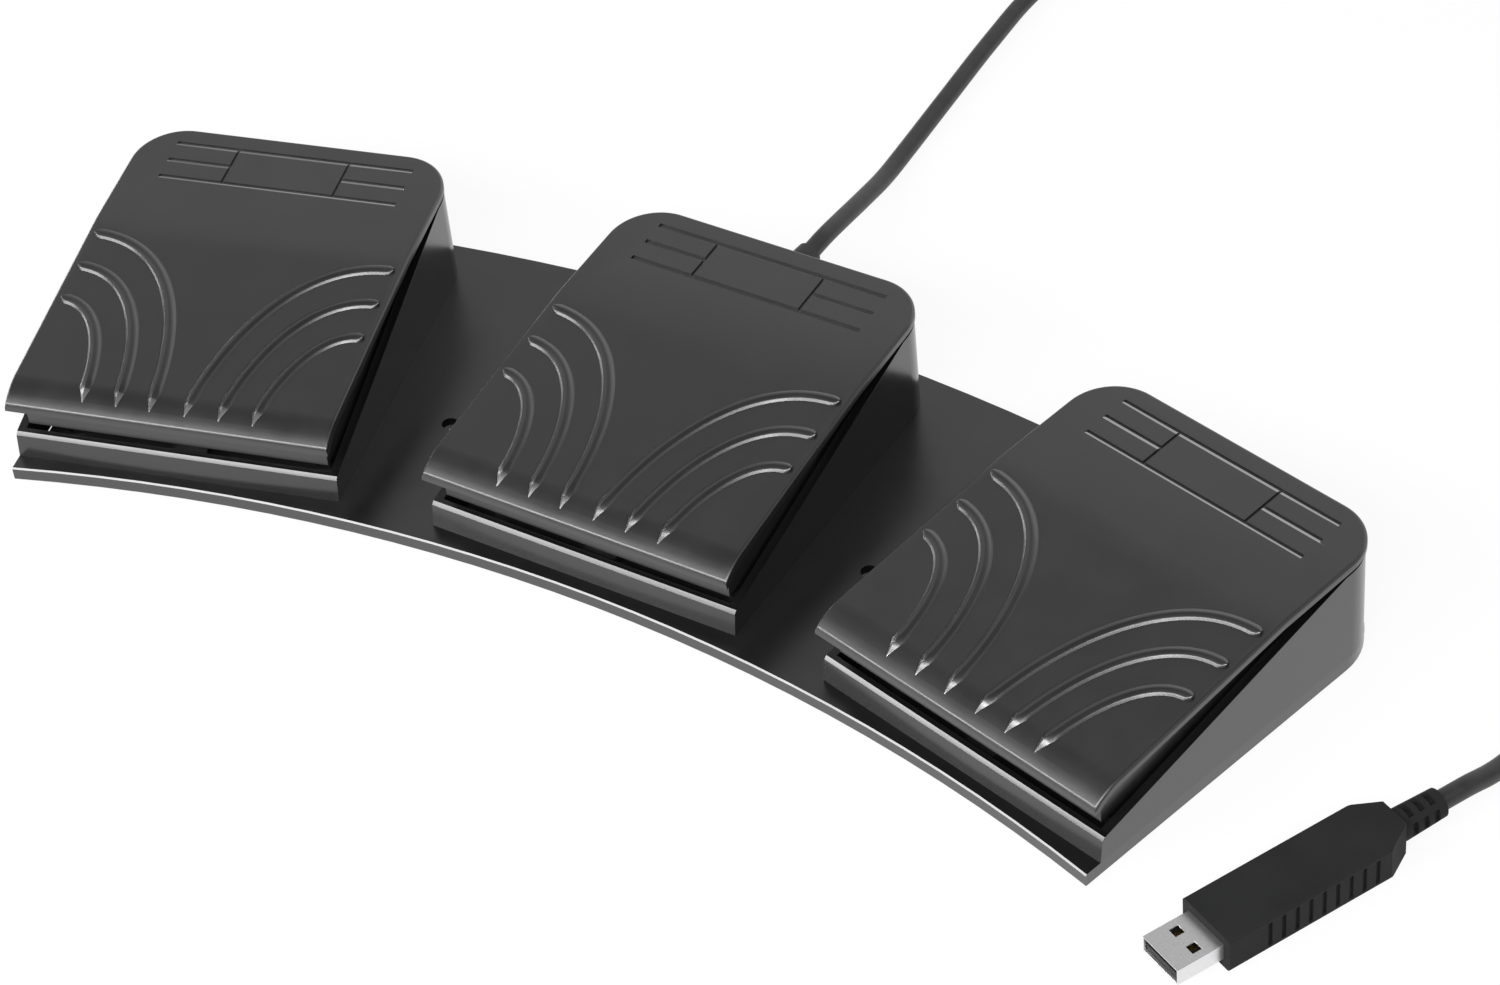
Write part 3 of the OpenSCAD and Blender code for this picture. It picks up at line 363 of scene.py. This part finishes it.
def metal(name, colour, rough, size, stretch, depth):
    """Metal with fine marks along one direction."""
    shader = Shader(name)
    marks = shader.noise(size, detail=3, roughness=0.6, stretch=stretch)
    shader.tint(marks, tuple(c * 0.9 for c in colour), tuple(min(1, c * 1.05) for c in colour))
    shader.rough(marks, rough * 0.8, rough * 1.3)
    shader.bump(marks, depth)
    shader.surface.inputs["Metallic"].default_value = 1.0
    return shader.material


def rubber(name, level, rough, grain, depth):
    """Rubber or a soft jacket, with slight mottling and a fine grain."""
    shader = Shader(name)
    shader.tint(shader.noise(4 * MM, detail=3), grey(level * 0.85), grey(level * 1.2))
    shader.rough(shader.noise(2 * MM), rough * 0.9, rough * 1.1)
    shader.bump(shader.noise(grain), depth)
    return shader.material


def painted(name, colour, rough, grain, depth):
    """A plain coloured surface with slight mottling and a fine grain."""
    shader = Shader(name)
    shader.tint(shader.noise(3 * MM, detail=3), tuple(c * 0.88 for c in colour), tuple(c * 1.1 for c in colour))
    shader.rough(shader.noise(1.5 * MM), rough * 0.85, rough * 1.15)
    shader.bump(shader.noise(grain), depth)
    return shader.material


def circuit_board():
    """Green solder mask with copper tracks showing through as a slightly lighter net."""
    shader = Shader("solder mask")
    tracks = shader.nodes.new("ShaderNodeTexVoronoi")
    tracks.feature = "DISTANCE_TO_EDGE"
    tracks.inputs["Scale"].default_value = 1 / (3 * MM)
    shader.links.new(shader.place, tracks.inputs["Vector"])
    on_track = shader.spread(tracks.outputs["Distance"], 1, 0, start=0.03, end=0.08)
    shader.tint(on_track, (0.008, 0.07, 0.03), (0.02, 0.14, 0.06))
    shader.rough(shader.noise(2 * MM), 0.25, 0.4)
    return shader.material


# A finish has its grey or colour, its roughness, and the size and depth of its grain or marks
MATERIALS = {
    "shell": moulded("shell plastic", 0.004, 0.2, 0.5 * MM, 0.001 * MM, 0.02 * MM, mirror=0.084),
    "pedal": moulded("pedal plastic", 0.004, 0.34, 0.3 * MM, 0.013 * MM, 0.02 * MM, mirror=0.1),
    "plate": painted("painted steel", grey(0.02), 0.45, 0.4 * MM, 0.01 * MM),
    "rubber": rubber("foot rubber", 0.02, 0.75, 0.3 * MM, 0.02 * MM),
    "steel": metal("bright steel", (0.6, 0.61, 0.63), 0.25, 0.3 * MM, (1, 1, 6), 0.003 * MM),
    "spring": metal("spring wire", (0.62, 0.63, 0.65), 0.22, 0.3 * MM, (1, 1, 4), 0.002 * MM),
    "bracket": moulded("bracket plastic", 0.035, 0.4, 0.3 * MM, 0.006 * MM),
    "board": circuit_board(),
    "switch": moulded("switch plastic", 0.012, 0.45, 0.2 * MM, 0.005 * MM),
    "plunger": painted("plunger plastic", (0.5, 0.03, 0.02), 0.35, 0.2 * MM, 0.003 * MM),
    "chip": painted("chip plastic", grey(0.012), 0.55, 0.1 * MM, 0.004 * MM),
    "parts": metal("tin plate", (0.6, 0.6, 0.61), 0.3, 0.4 * MM, (1, 1, 1), 0.003 * MM),
    "header": painted("connector plastic", (0.72, 0.67, 0.55), 0.45, 0.2 * MM, 0.003 * MM),
    "ribbon": painted("ribbon jacket", grey(0.22), 0.5, 0.2 * MM, 0.004 * MM),
    "cable": rubber("cable jacket", 0.018, 0.45, 0.35 * MM, 0.004 * MM),
    "boot": rubber("boot rubber", 0.018, 0.5, 0.3 * MM, 0.006 * MM),
    "tie": painted("strap", grey(0.02), 0.8, 0.4 * MM, 0.05 * MM),
    "grip": moulded("grip plastic", 0.017, 0.65, 0.3 * MM, 0.008 * MM, mirror=0.008),
    "usb_metal": metal("plated shell", (0.8, 0.8, 0.81), 0.34, 0.25 * MM, (1, 1, 1), 0.003 * MM),
    "tongue": painted("tongue plastic", grey(0.008), 0.5, 0.2 * MM, 0.003 * MM),
    "contact": metal("gold plate", (0.78, 0.56, 0.2), 0.25, 0.2 * MM, (1, 1, 1), 0.002 * MM),
}
BASE_TOP = moulded("base top", 0.004, 0.3, 0.4 * MM, 0.004 * MM, 0.02 * MM, mirror=0.068)
BASE_EDGE = moulded("base edge", 0.004, 0.22, 0.4 * MM, 0.002 * MM, 0.02 * MM, mirror=0.1)
# Darker and matt, with almost no mirroring: a painted shade inside the mounting holes
HOLE_WALL_PAINTED_SHADE = moulded("hole wall painted shade", 0.002, 0.8, 0.3 * MM, 0.004 * MM, mirror=0.004)
GROOVE_EDGE = moulded("groove edge", 0.004, 0.16, 0.4 * MM, 0.001 * MM, mirror=0.3)
# The rib tips: glossier, and a much lighter grey than the pedal, which is a painted highlight
RIB_TIP_PAINTED_HIGHLIGHT = moulded("rib tip painted highlight", 0.05, 0.26, 0.4 * MM, 0.001 * MM, mirror=0.14)

for part in frame["record"]["subparts"]:
    mesh = NODES[part["node"]].data
    mesh.materials.clear()
    mesh.materials.append(MATERIALS[part["material_slot"]])


# The camera stands where the photograph's camera stood

def make_camera():
    data = bpy.data.cameras.new("camera")
    data.lens = LENS
    data.sensor_width = SENSOR_W
    data.clip_start = 0.01
    data.clip_end = 50
    camera = bpy.data.objects.new("camera", data)
    forward = Vector(CAMERA_FORWARD).normalized()
    up = Vector(CAMERA_RIGHT).cross(forward).normalized()
    matrix = Matrix.Identity(4)
    matrix.col[0][:3] = forward.cross(up)
    matrix.col[1][:3] = up
    matrix.col[2][:3] = -forward
    matrix.col[3][:3] = CAMERA_PLACE
    camera.matrix_world = matrix
    bpy.context.scene.collection.objects.link(camera)
    bpy.context.scene.camera = camera


make_camera()


# The cable: out of the boot, down to the floor, through the coil and on to the plug

def coil_point(t):
    """A point of the coil after t turns: inwards in a lower layer, and out again in an upper one."""
    angle = COIL_START - 2 * math.pi * t
    radius = COIL_R - COIL_STEP * min(t, COIL_TURNS - t)
    rise = COIL_STEP * smooth((t - COIL_TURNS / 2) / COIL_CLIMB + 0.5)
    return Vector((
        COIL_CENTRE[0] + radius * math.cos(angle),
        COIL_CENTRE[1] + radius * math.sin(angle),
        COIL_LOW_Z + rise,
    ))


def between(a, b, c, d, t):
    """A point on the smooth curve from b to c."""
    return 0.5 * (
        2 * b + (c - a) * t + (2 * a - 5 * b + 4 * c - d) * t * t + (3 * b - a - 3 * c + d) * t * t * t
    )


def smooth_route(points, steps=8):
    """A smooth curve through points, in short steps."""
    last = len(points) - 1
    found = [
        between(points[max(i - 1, 0)], points[i], points[i + 1], points[min(i + 2, last)], k / steps)
        for i in range(last) for k in range(steps)
    ]
    return found + [points[last]]


def in_mm(*points):
    return [Vector(p) * MM for p in points]


LEAD_START = FRAMES["middle"] @ Vector((-CABLE_U, HOUSE_BACK_V, CABLE_Z))
BOOT_END = LEAD_START + Vector((0, BOOT_LEN, 0))
COIL_ENTRY = CABLE_D * Vector((math.sin(COIL_START), -math.cos(COIL_START), 0))
COIL_EXIT = CABLE_D * Vector((0, -1, 0))
COIL_IN = coil_point(0) - COIL_ENTRY
COIL_OUT = coil_point(COIL_TURNS) + COIL_EXIT
PLUG_AXIS = Vector((math.sin(PLUG_HEADING), math.cos(PLUG_HEADING), 0))
PLUG_END = Vector((*PLUG_TIP, PLUG_Z)) + PLUG_LEN * PLUG_AXIS
LEAD_ROUTE = (
    [LEAD_START, (LEAD_START + BOOT_END) / 2, BOOT_END, BOOT_END + Vector((0, 8, -0.1)) * MM]
    + in_mm(
        (-8.6, 102, 9.4), (-9.8, 114, 6.6), (-11.2, 127, 3.8), (-12.6, 142, 2.6),
        (-14, 165, 2.4), (-15.4, 192, 2.4), (-15.5, 216, 2.4), (-11, 239, 2.4),
        (1, 259, 2.4), (21, 273, 2.4), (48, 280, 2.4), (81, 279, 2.4),
        (115, 271.5, 2.5), (145, 258.5, 2.8), (168, 243.5, 3.1),
    )
    + [COIL_IN - 3 * COIL_ENTRY, COIL_IN]
)
TAIL_ROUTE = (
    [COIL_OUT, COIL_OUT + 2 * COIL_EXIT]
    + in_mm(
        (226.5, 148, 6.2), (226.4, 134, 3.8), (226, 120, 2.6), (225, 100, 2.4),
        (223.5, 78, 2.4), (221.5, 56, 2.4), (219, 36, 2.4), (216, 20, 2.4), (212, 5, 3),
    )
    + [PLUG_END + 8 * MM * PLUG_AXIS, PLUG_END]
)


def make_cable():
    coil_steps = round(COIL_TURNS * COIL_POINTS)
    coil = [coil_point(COIL_TURNS * i / coil_steps) for i in range(coil_steps + 1)]
    path = smooth_route(LEAD_ROUTE) + coil + smooth_route(TAIL_ROUTE)
    data = bpy.data.curves.new("usb_cable", "CURVE")
    data.dimensions = "3D"
    data.bevel_depth = CABLE_R
    data.bevel_resolution = 5
    data.use_fill_caps = True
    spline = data.splines.new("POLY")
    spline.points.add(len(path) - 1)
    for point, place in zip(spline.points, path):
        point.co = (*place, 1)
    spline.use_smooth = True
    cable = add_object("usb_cable", data, "base", MATERIALS["cable"])
    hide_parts("cable_lead", "cable_coil", "cable_tail")
    return cable


cable = make_cable()


# The pedals

def pedal_top(v):
    """Height and slope of a pedal's upper face."""
    if v >= CREASE_V:
        return CREASE_Z + (v - CREASE_V) * REAR_SLOPE, REAR_TILT
    if v >= NOSE_LEN:
        return CREASE_Z + (v - CREASE_V) * FRONT_SLOPE, FRONT_TILT
    reach = NOSE_V - v
    return NOSE_Z + math.sqrt(NOSE_R ** 2 - reach ** 2), math.asin(reach / NOSE_R)


def on_outline(place):
    """True on the edge of a pedal's plan outline."""
    u, v = abs(place.x), place.y
    if v < NEAR or v > PEDAL_LEN - NEAR or u > PEDAL_HALF_W - NEAR:
        return True
    corner = (PEDAL_HALF_W - PEDAL_CORNER_R, PEDAL_LEN - PEDAL_CORNER_R)
    if u < corner[0] or v < corner[1]:
        return False
    return math.hypot(u - corner[0], v - corner[1]) > PEDAL_CORNER_R - NEAR


def ease_grooves(bm):
    """A shallow facet along the near edges of the cross-wise grooves, which catches the light."""
    def on_top(place):
        return abs(place.z - pedal_top(place.y)[0]) < GROOVE_NEAR

    def at_near_edge(place):
        at_wall = any(abs(place.y - row + GROOVE_W / 2) < GROOVE_NEAR for row in GROOVE_ROWS)
        return at_wall and abs(place.x) < GROOVE_HALF_LEN + GROOVE_NEAR and on_top(place)

    edges = [edge for edge in bm.edges if all(at_near_edge(vert.co) for vert in edge.verts)]
    split = bmesh.ops.bevel(
        bm, geom=edges, offset=GROOVE_EDGE_DROP, offset_type="OFFSET", segments=1,
        profile=0.5, affect="EDGES", clamp_overlap=True,
    )
    facets = set(split["faces"])
    for vert in {vert for face in facets for vert in face.verts}:
        if on_top(vert.co):
            v = vert.co.y - (GROOVE_EDGE_W - GROOVE_EDGE_DROP)
            vert.co = (vert.co.x, v, pedal_top(v)[0])
    for face in facets:
        face.material_index = 1


def make_pedal_skin(side):
    """The pedal as the CAD has it, with its ribs' blocks sunk flush and its edges rounded."""
    node = f"{side}_pedal"
    bm = copied(node)
    bm.transform(FRAMES[side].inverted())
    for vert in bm.verts:
        if RIB_TIP_V - MM < vert.co.y < CREASE_V:
            height = pedal_top(vert.co.y)[0]
            if vert.co.z > height + RIB_PROUD:
                vert.co.z = height - RIB_ROOT
    merge_flat(bm)

    def upper_edge(edge):
        ends = [vert.co for vert in edge.verts]
        return edge.calc_length() > PEDAL_SHORT_EDGE and all(
            on_outline(p) and p.z > max(PEDAL_EDGE_LOW_Z, pedal_top(p.y)[0] - NEAR) for p in ends
        )

    ease_grooves(bm)
    round_edges(bm, upper_edge, PEDAL_EDGE, PEDAL_EDGE_STEPS)
    shade(bm)
    for face in bm.faces:
        if face.material_index == 1:
            for edge in face.edges:
                edge.smooth = False
    bm.transform(FRAMES[side])
    skin = add_object(f"{node}_skin", mesh_from(f"{node}_skin", bm), node, MATERIALS["pedal"])
    skin.data.materials.append(GROOVE_EDGE)
    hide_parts(node)
    weight_normals(skin)


def rib_point(index, t):
    """A point of a rib's middle line in plan, at a share t of the way from its tip to its end."""
    reach_u = RIB_ORIGIN[0] - RIB_PITCH * (index + 0.5)
    reach_v = RIB_LONG_V - RIB_END_STEP * index - RIB_ORIGIN[1]
    low = math.asin(((RIB_TIP_V - RIB_ORIGIN[1]) / reach_v) ** (RIB_POWER / 2))
    angle = low + (math.pi / 2 - low) * t
    return Vector((
        RIB_ORIGIN[0] - reach_u * max(math.cos(angle), 0) ** (2 / RIB_POWER),
        RIB_ORIGIN[1] + reach_v * math.sin(angle) ** (2 / RIB_POWER),
    ))


def rib_profile(inward):
    """A rib's height at a share of the way from its edge to its middle: a plain flank and a round crown."""
    if inward < RIB_FLANK:
        return RIB_FLANK_RISE * inward / RIB_FLANK
    over = (inward - RIB_FLANK) / (1 - RIB_FLANK)
    return RIB_FLANK_RISE + (1 - RIB_FLANK_RISE) * math.sin(math.pi / 2 * over)


def rib_ring(index, t):
    """The points across a rib at a share t of its way, over the pedal's upper face."""
    place = rib_point(index, t)
    ahead = rib_point(index, min(t + RIB_TURN, 1)) - rib_point(index, max(t - RIB_TURN, 0))
    aside = Vector((-ahead.y, ahead.x)).normalized()
    from_tip = (place.y - RIB_TIP_V) / RIB_TIP_TAPER
    from_end = min(1, (RIB_ORIGIN[0] - place.x) / RIB_END_TAPER)
    bullet = math.sqrt(1 - (1 - from_end) ** 2)
    share = min(1, RIB_BLUNT + from_tip, RIB_BLUNT + bullet)
    lift = RIB_H * min(1, RIB_BLUNT + (place.y - RIB_TIP_V) / RIB_TIP_DROP, RIB_END_LIFT * share)
    roof = smooth((RIB_TIP_V + RIB_TIP_TAPER - place.y) / RIB_ROOF_FADE + 0.5)
    slope = pedal_top(place.y)[1]
    ring = []
    for k in range(RIB_SIDES + 3):
        across = 1 - 2 * min(max((k - 1) / RIB_SIDES, 0), 1)
        inward = 1 - abs(across)
        dome = rib_profile(inward)
        rise = lift * (dome + roof * (inward - dome)) if 0 < k < RIB_SIDES + 2 else -RIB_ROOT
        at = place + aside * RIB_HALF_W * share * across
        ring.append(Vector((at.x, at.y - rise * math.sin(slope), pedal_top(at.y)[0] + rise * math.cos(slope))))
    return ring


def make_ribs(side):
    """The ribs of one pedal, mirrored left and right, with front tips that are glossier and a lighter grey, a
    painted highlight.
    """
    bm = bmesh.new()
    for index in range(RIB_COUNT):
        for hand in (-1, 1):
            rings = []
            for k in range(RIB_STEPS + 1):
                t = (1 - math.cos(math.pi * k / RIB_STEPS)) / 2
                rings.append([bm.verts.new((hand * p.x, p.y, p.z)) for p in rib_ring(index, t)])
            for a, b in zip(rings, rings[1:]):
                for k in range(len(a) - 1):
                    bm.faces.new((a[k], a[k + 1], b[k + 1], b[k]))
                bm.faces.new((a[-1], a[0], b[0], b[-1]))
            bm.faces.new(rings[0])
            bm.faces.new(rings[-1])
    # Faces near a rib's front tip take the lighter, glossier material: a painted highlight
    for face in bm.faces:
        face.material_index = int(max(vert.co.y for vert in face.verts) < RIB_TIP_V + RIB_TIP_HIGHLIGHT_LEN)
    bmesh.ops.recalc_face_normals(bm, faces=bm.faces)
    shade(bm, RIB_SHARP_DEG)
    bm.transform(FRAMES[side])
    name = f"{side}_pedal_ribs"
    ribs = add_object(name, mesh_from(name, bm), f"{side}_pedal", MATERIALS["pedal"])
    ribs.data.materials.append(RIB_TIP_PAINTED_HIGHLIGHT)


for side in SIDES:
    make_pedal_skin(side)
    make_ribs(side)


# The housings and the base

def make_housing(side):
    """A housing as the CAD has it, with a thinner bevel and a slightly rounded rim."""
    node = f"{side}_housing"
    bm = copied(node)
    bm.transform(FRAMES[side].inverted())
    merge_flat(bm)
    for vert in bm.verts:
        if math.dist((vert.co.y, vert.co.z), BEVEL_FOOT) < BEVEL_NEAR:
            vert.co.y += BEVEL_TRIM
            vert.co.z += BEVEL_TRIM

    def rim_edge(edge):
        a, b = (vert.co for vert in edge.verts)
        return min(a.z, b.z) > HOUSE_FOOT_Z + MM and all(
            abs(p.x) > PEDAL_HALF_W - HOUSE_WALL - NEAR
            or p.y < HOUSE_FRONT_V or p.y > HOUSE_BACK_V - HOUSE_WALL - NEAR
            for p in (a, b)
        ) and abs(a.x - b.x) + abs(a.y - b.y) > RIM_SHORT_EDGE

    round_edges(bm, rim_edge, RIM_EDGE, RIM_EDGE_STEPS)
    shade(bm)
    bm.transform(FRAMES[side])
    skin = add_object(f"{node}_skin", mesh_from(f"{node}_skin", bm), "base", MATERIALS["shell"])
    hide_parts(node)
    weight_normals(skin)


def make_base():
    """The base as the CAD has it, with a facet along its upper edge, and hole walls darkened and matt as a painted
    shade in the mounting holes.
    """
    bm = copied("base_shell")
    merge_flat(bm)
    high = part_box("base_shell")[1]

    def under_side_wall(place):
        spots = [FRAMES[side].inverted() @ place for side in SIDES]
        return any(abs(abs(p.x) - PEDAL_HALF_W) < MM and WALL_FRONT_V < p.y < HOUSE_BACK_V for p in spots)

    def upper_edge(edge):
        a, b = (vert.co for vert in edge.verts)
        high_up = min(a.z, b.z) > high.z - BASE_TOP_NEAR
        return high_up and (a - b).length > BASE_HOLE_STEP and not under_side_wall((a + b) / 2)

    def in_hole(place):
        return any(math.dist(place.xy, (hand * MOUNT_PLACE[0], MOUNT_PLACE[1])) < MOUNT_R for hand in (-1, 1))

    round_edges(bm, upper_edge, BASE_EDGE_W, 1, clamp=False)
    shade(bm)
    for face in bm.faces:
        face.material_index = 0 if face.normal.z > BASE_LEVEL else 1
        # Faces in the mounting holes take the darker, matt material: a painted shade
        if in_hole(face.calc_center_median()):
            face.material_index = 2
    skin = add_object("base_shell_skin", mesh_from("base_shell_skin", bm), "base", BASE_TOP)
    skin.data.materials.append(BASE_EDGE)
    skin.data.materials.append(HOLE_WALL_PAINTED_SHADE)
    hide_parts("base_shell")
    weight_normals(skin)


for side in SIDES:
    make_housing(side)
make_base()


# The plug's grip and metal shell

def make_plug_piece(node, slot, width, segments):
    """A piece of the plug as the CAD has it, with its edges rounded."""
    bm = copied(node)
    merge_flat(bm)
    round_edges(bm, lambda edge: True, width, segments)
    shade(bm)
    skin = add_object(f"{node}_skin", mesh_from(f"{node}_skin", bm), "base", MATERIALS[slot])
    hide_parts(node)
    weight_normals(skin)
    return skin


GRIP = make_plug_piece("plug_grip", "grip", GRIP_EDGE, 3)
USB_SHELL = make_plug_piece("usb_shell", "usb_metal", USB_EDGE, 2)


# The return springs

def tube(bm, path, radius, sides):
    """A closed tube along a path."""
    rings = []
    last = len(path) - 1
    for i, place in enumerate(path):
        ahead = (path[min(i + 1, last)] - path[max(i - 1, 0)]).normalized()
        aside = Vector((ahead.y, -ahead.x, 0)).normalized()
        up = aside.cross(ahead)
        rings.append([
            bm.verts.new(place + radius * (math.cos(a) * aside + math.sin(a) * up))
            for a in (2 * math.pi * k / sides for k in range(sides))
        ])
    for a, b in zip(rings, rings[1:]):
        for k in range(sides):
            bm.faces.new((a[k], a[(k + 1) % sides], b[(k + 1) % sides], b[k]))
    bm.faces.new(rings[0])
    bm.faces.new(rings[-1])
    bmesh.ops.recalc_face_normals(bm, faces=bm.faces)


def make_spring(side):
    """A return spring of round wire, with closed end turns."""
    node = f"{side}_return_spring"
    low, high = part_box(node)
    pitch = (high.z - low.z - 2 * WIRE_R - 2 * SPRING_END) / (SPRING_TURNS - 2)

    def height(t):
        if t < 1:
            return t * SPRING_END
        if t < SPRING_TURNS - 1:
            return SPRING_END + (t - 1) * pitch
        return SPRING_END + (SPRING_TURNS - 2) * pitch + (t - SPRING_TURNS + 1) * SPRING_END

    steps = round(SPRING_TURNS * WIRE_STEPS)
    path = []
    for i in range(steps + 1):
        t = SPRING_TURNS * i / steps
        angle = 2 * math.pi * t
        path.append(Vector((
            SPRING_R * math.cos(angle), SPRING_V + SPRING_R * math.sin(angle), low.z + WIRE_R + height(t),
        )))
    bm = bmesh.new()
    tube(bm, path, WIRE_R, WIRE_SIDES)
    shade(bm, WIRE_SHARP_DEG)
    bm.transform(FRAMES[side])
    spring = add_object(f"{node}_wire", mesh_from(f"{node}_wire", bm), "base", MATERIALS["spring"])
    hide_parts(node)
    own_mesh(spring)


for side in SIDES:
    make_spring(side)


# The floor and the light

def add_math(tree, operation, first, second):
    """A math node of one operation on two outputs, or on an output and a number."""
    node = tree.nodes.new("ShaderNodeMath")
    node.operation = operation
    tree.links.new(first, node.inputs[0])
    if isinstance(second, float):
        node.inputs[1].default_value = second
    else:
        tree.links.new(second, node.inputs[1])
    return node.outputs["Value"]


def make_floor():
    """A pale floor that keeps the object's shadow and looks white in the picture and in reflections."""
    bpy.ops.mesh.primitive_plane_add(size=FLOOR_SIZE, location=(0, 0, FLOOR_Z))
    floor = bpy.context.object
    floor.name = "floor"
    material = bpy.data.materials.new("white floor")
    material.use_nodes = True
    tree = material.node_tree
    nodes, links = tree.nodes, tree.links
    nodes.remove(nodes["Principled BSDF"])
    path = nodes.new("ShaderNodeLightPath").outputs
    seen = add_math(tree, "MAXIMUM", path["Is Camera Ray"], path["Is Glossy Ray"])
    seen = add_math(tree, "MAXIMUM", seen, path["Is Transmission Ray"])
    share = add_math(tree, "MULTIPLY", seen, FLOOR_GLOW)
    matt = nodes.new("ShaderNodeBsdfDiffuse")
    matt.inputs["Color"].default_value = (FLOOR_LEVEL, FLOOR_LEVEL, FLOOR_LEVEL, 1)
    glow = nodes.new("ShaderNodeEmission")
    glow.inputs["Color"].default_value = (1, 1, 1, 1)
    mix = nodes.new("ShaderNodeMixShader")
    links.new(share, mix.inputs["Fac"])
    links.new(matt.outputs["BSDF"], mix.inputs[1])
    links.new(glow.outputs["Emission"], mix.inputs[2])
    links.new(mix.outputs["Shader"], nodes["Material Output"].inputs["Surface"])
    floor.data.materials.append(material)


def add_softbox(name, place, size, radiance, roll_deg=0):
    """A flat panel of light that faces the object, turned about that line."""
    data = bpy.data.lights.new(name, "AREA")
    data.shape = "RECTANGLE"
    data.size, data.size_y = size
    data.energy = radiance * 4 * size[0] * size[1]
    light = bpy.data.objects.new(name, data)
    light.location = place
    aim = (LIGHT_TARGET - Vector(place)).to_track_quat("-Z", "Y")
    light.rotation_euler = (aim @ Quaternion((0, 0, 1), math.radians(roll_deg))).to_euler()
    bpy.context.scene.collection.objects.link(light)


def make_world():
    """White to the camera; for the light, a bright band half way up, a dimmer ceiling and a glow from behind."""
    world = bpy.data.worlds.new("studio")
    bpy.context.scene.world = world
    world.use_nodes = True
    nodes, links = world.node_tree.nodes, world.node_tree.links
    background = nodes["Background"]
    direction = nodes.new("ShaderNodeTexCoord").outputs["Generated"]
    parts = nodes.new("ShaderNodeSeparateXYZ")
    links.new(direction, parts.inputs["Vector"])
    ramp = nodes.new("ShaderNodeValToRGB")
    ramp.color_ramp.interpolation = "EASE"
    for place, level in WORLD_STOPS[2:]:
        ramp.color_ramp.elements.new(place)
    for element, (place, level) in zip(ramp.color_ramp.elements, WORLD_STOPS):
        element.position = place
        element.color = (level, level, level, 1)
    links.new(parts.outputs["Z"], ramp.inputs["Fac"])
    behind = nodes.new("ShaderNodeMapRange")
    behind.interpolation_type = "SMOOTHSTEP"
    behind.inputs["From Min"].default_value = BACK_GLOW_FROM
    behind.inputs["From Max"].default_value = BACK_GLOW_FULL
    behind.inputs["To Max"].default_value = BACK_GLOW
    links.new(parts.outputs["Y"], behind.inputs["Value"])
    total = nodes.new("ShaderNodeVectorMath")
    total.operation = "ADD"
    links.new(ramp.outputs["Color"], total.inputs[0])
    links.new(behind.outputs["Result"], total.inputs[1])
    links.new(total.outputs["Vector"], background.inputs["Color"])
    background.inputs["Strength"].default_value = 1.0
    white = nodes.new("ShaderNodeBackground")
    white.inputs["Color"].default_value = (1, 1, 1, 1)
    mix = nodes.new("ShaderNodeMixShader")
    path = nodes.new("ShaderNodeLightPath")
    links.new(path.outputs["Is Camera Ray"], mix.inputs["Fac"])
    links.new(background.outputs["Background"], mix.inputs[1])
    links.new(white.outputs["Background"], mix.inputs[2])
    links.new(mix.outputs["Shader"], nodes["World Output"].inputs["Surface"])


make_floor()
make_world()
add_softbox("front softbox", (-0.263, -0.983, 0.809), size=(2.4, 0.37), radiance=7.0, roll_deg=16)
add_softbox("left strip", (-1.44, 0.17, 0.11), size=(1.2, 0.17), radiance=7.0)
add_softbox("right softbox", (0.62, -0.7, 0.92), size=(0.9, 0.34), radiance=5.0)
bpy.context.scene.view_settings.view_transform = "Standard"
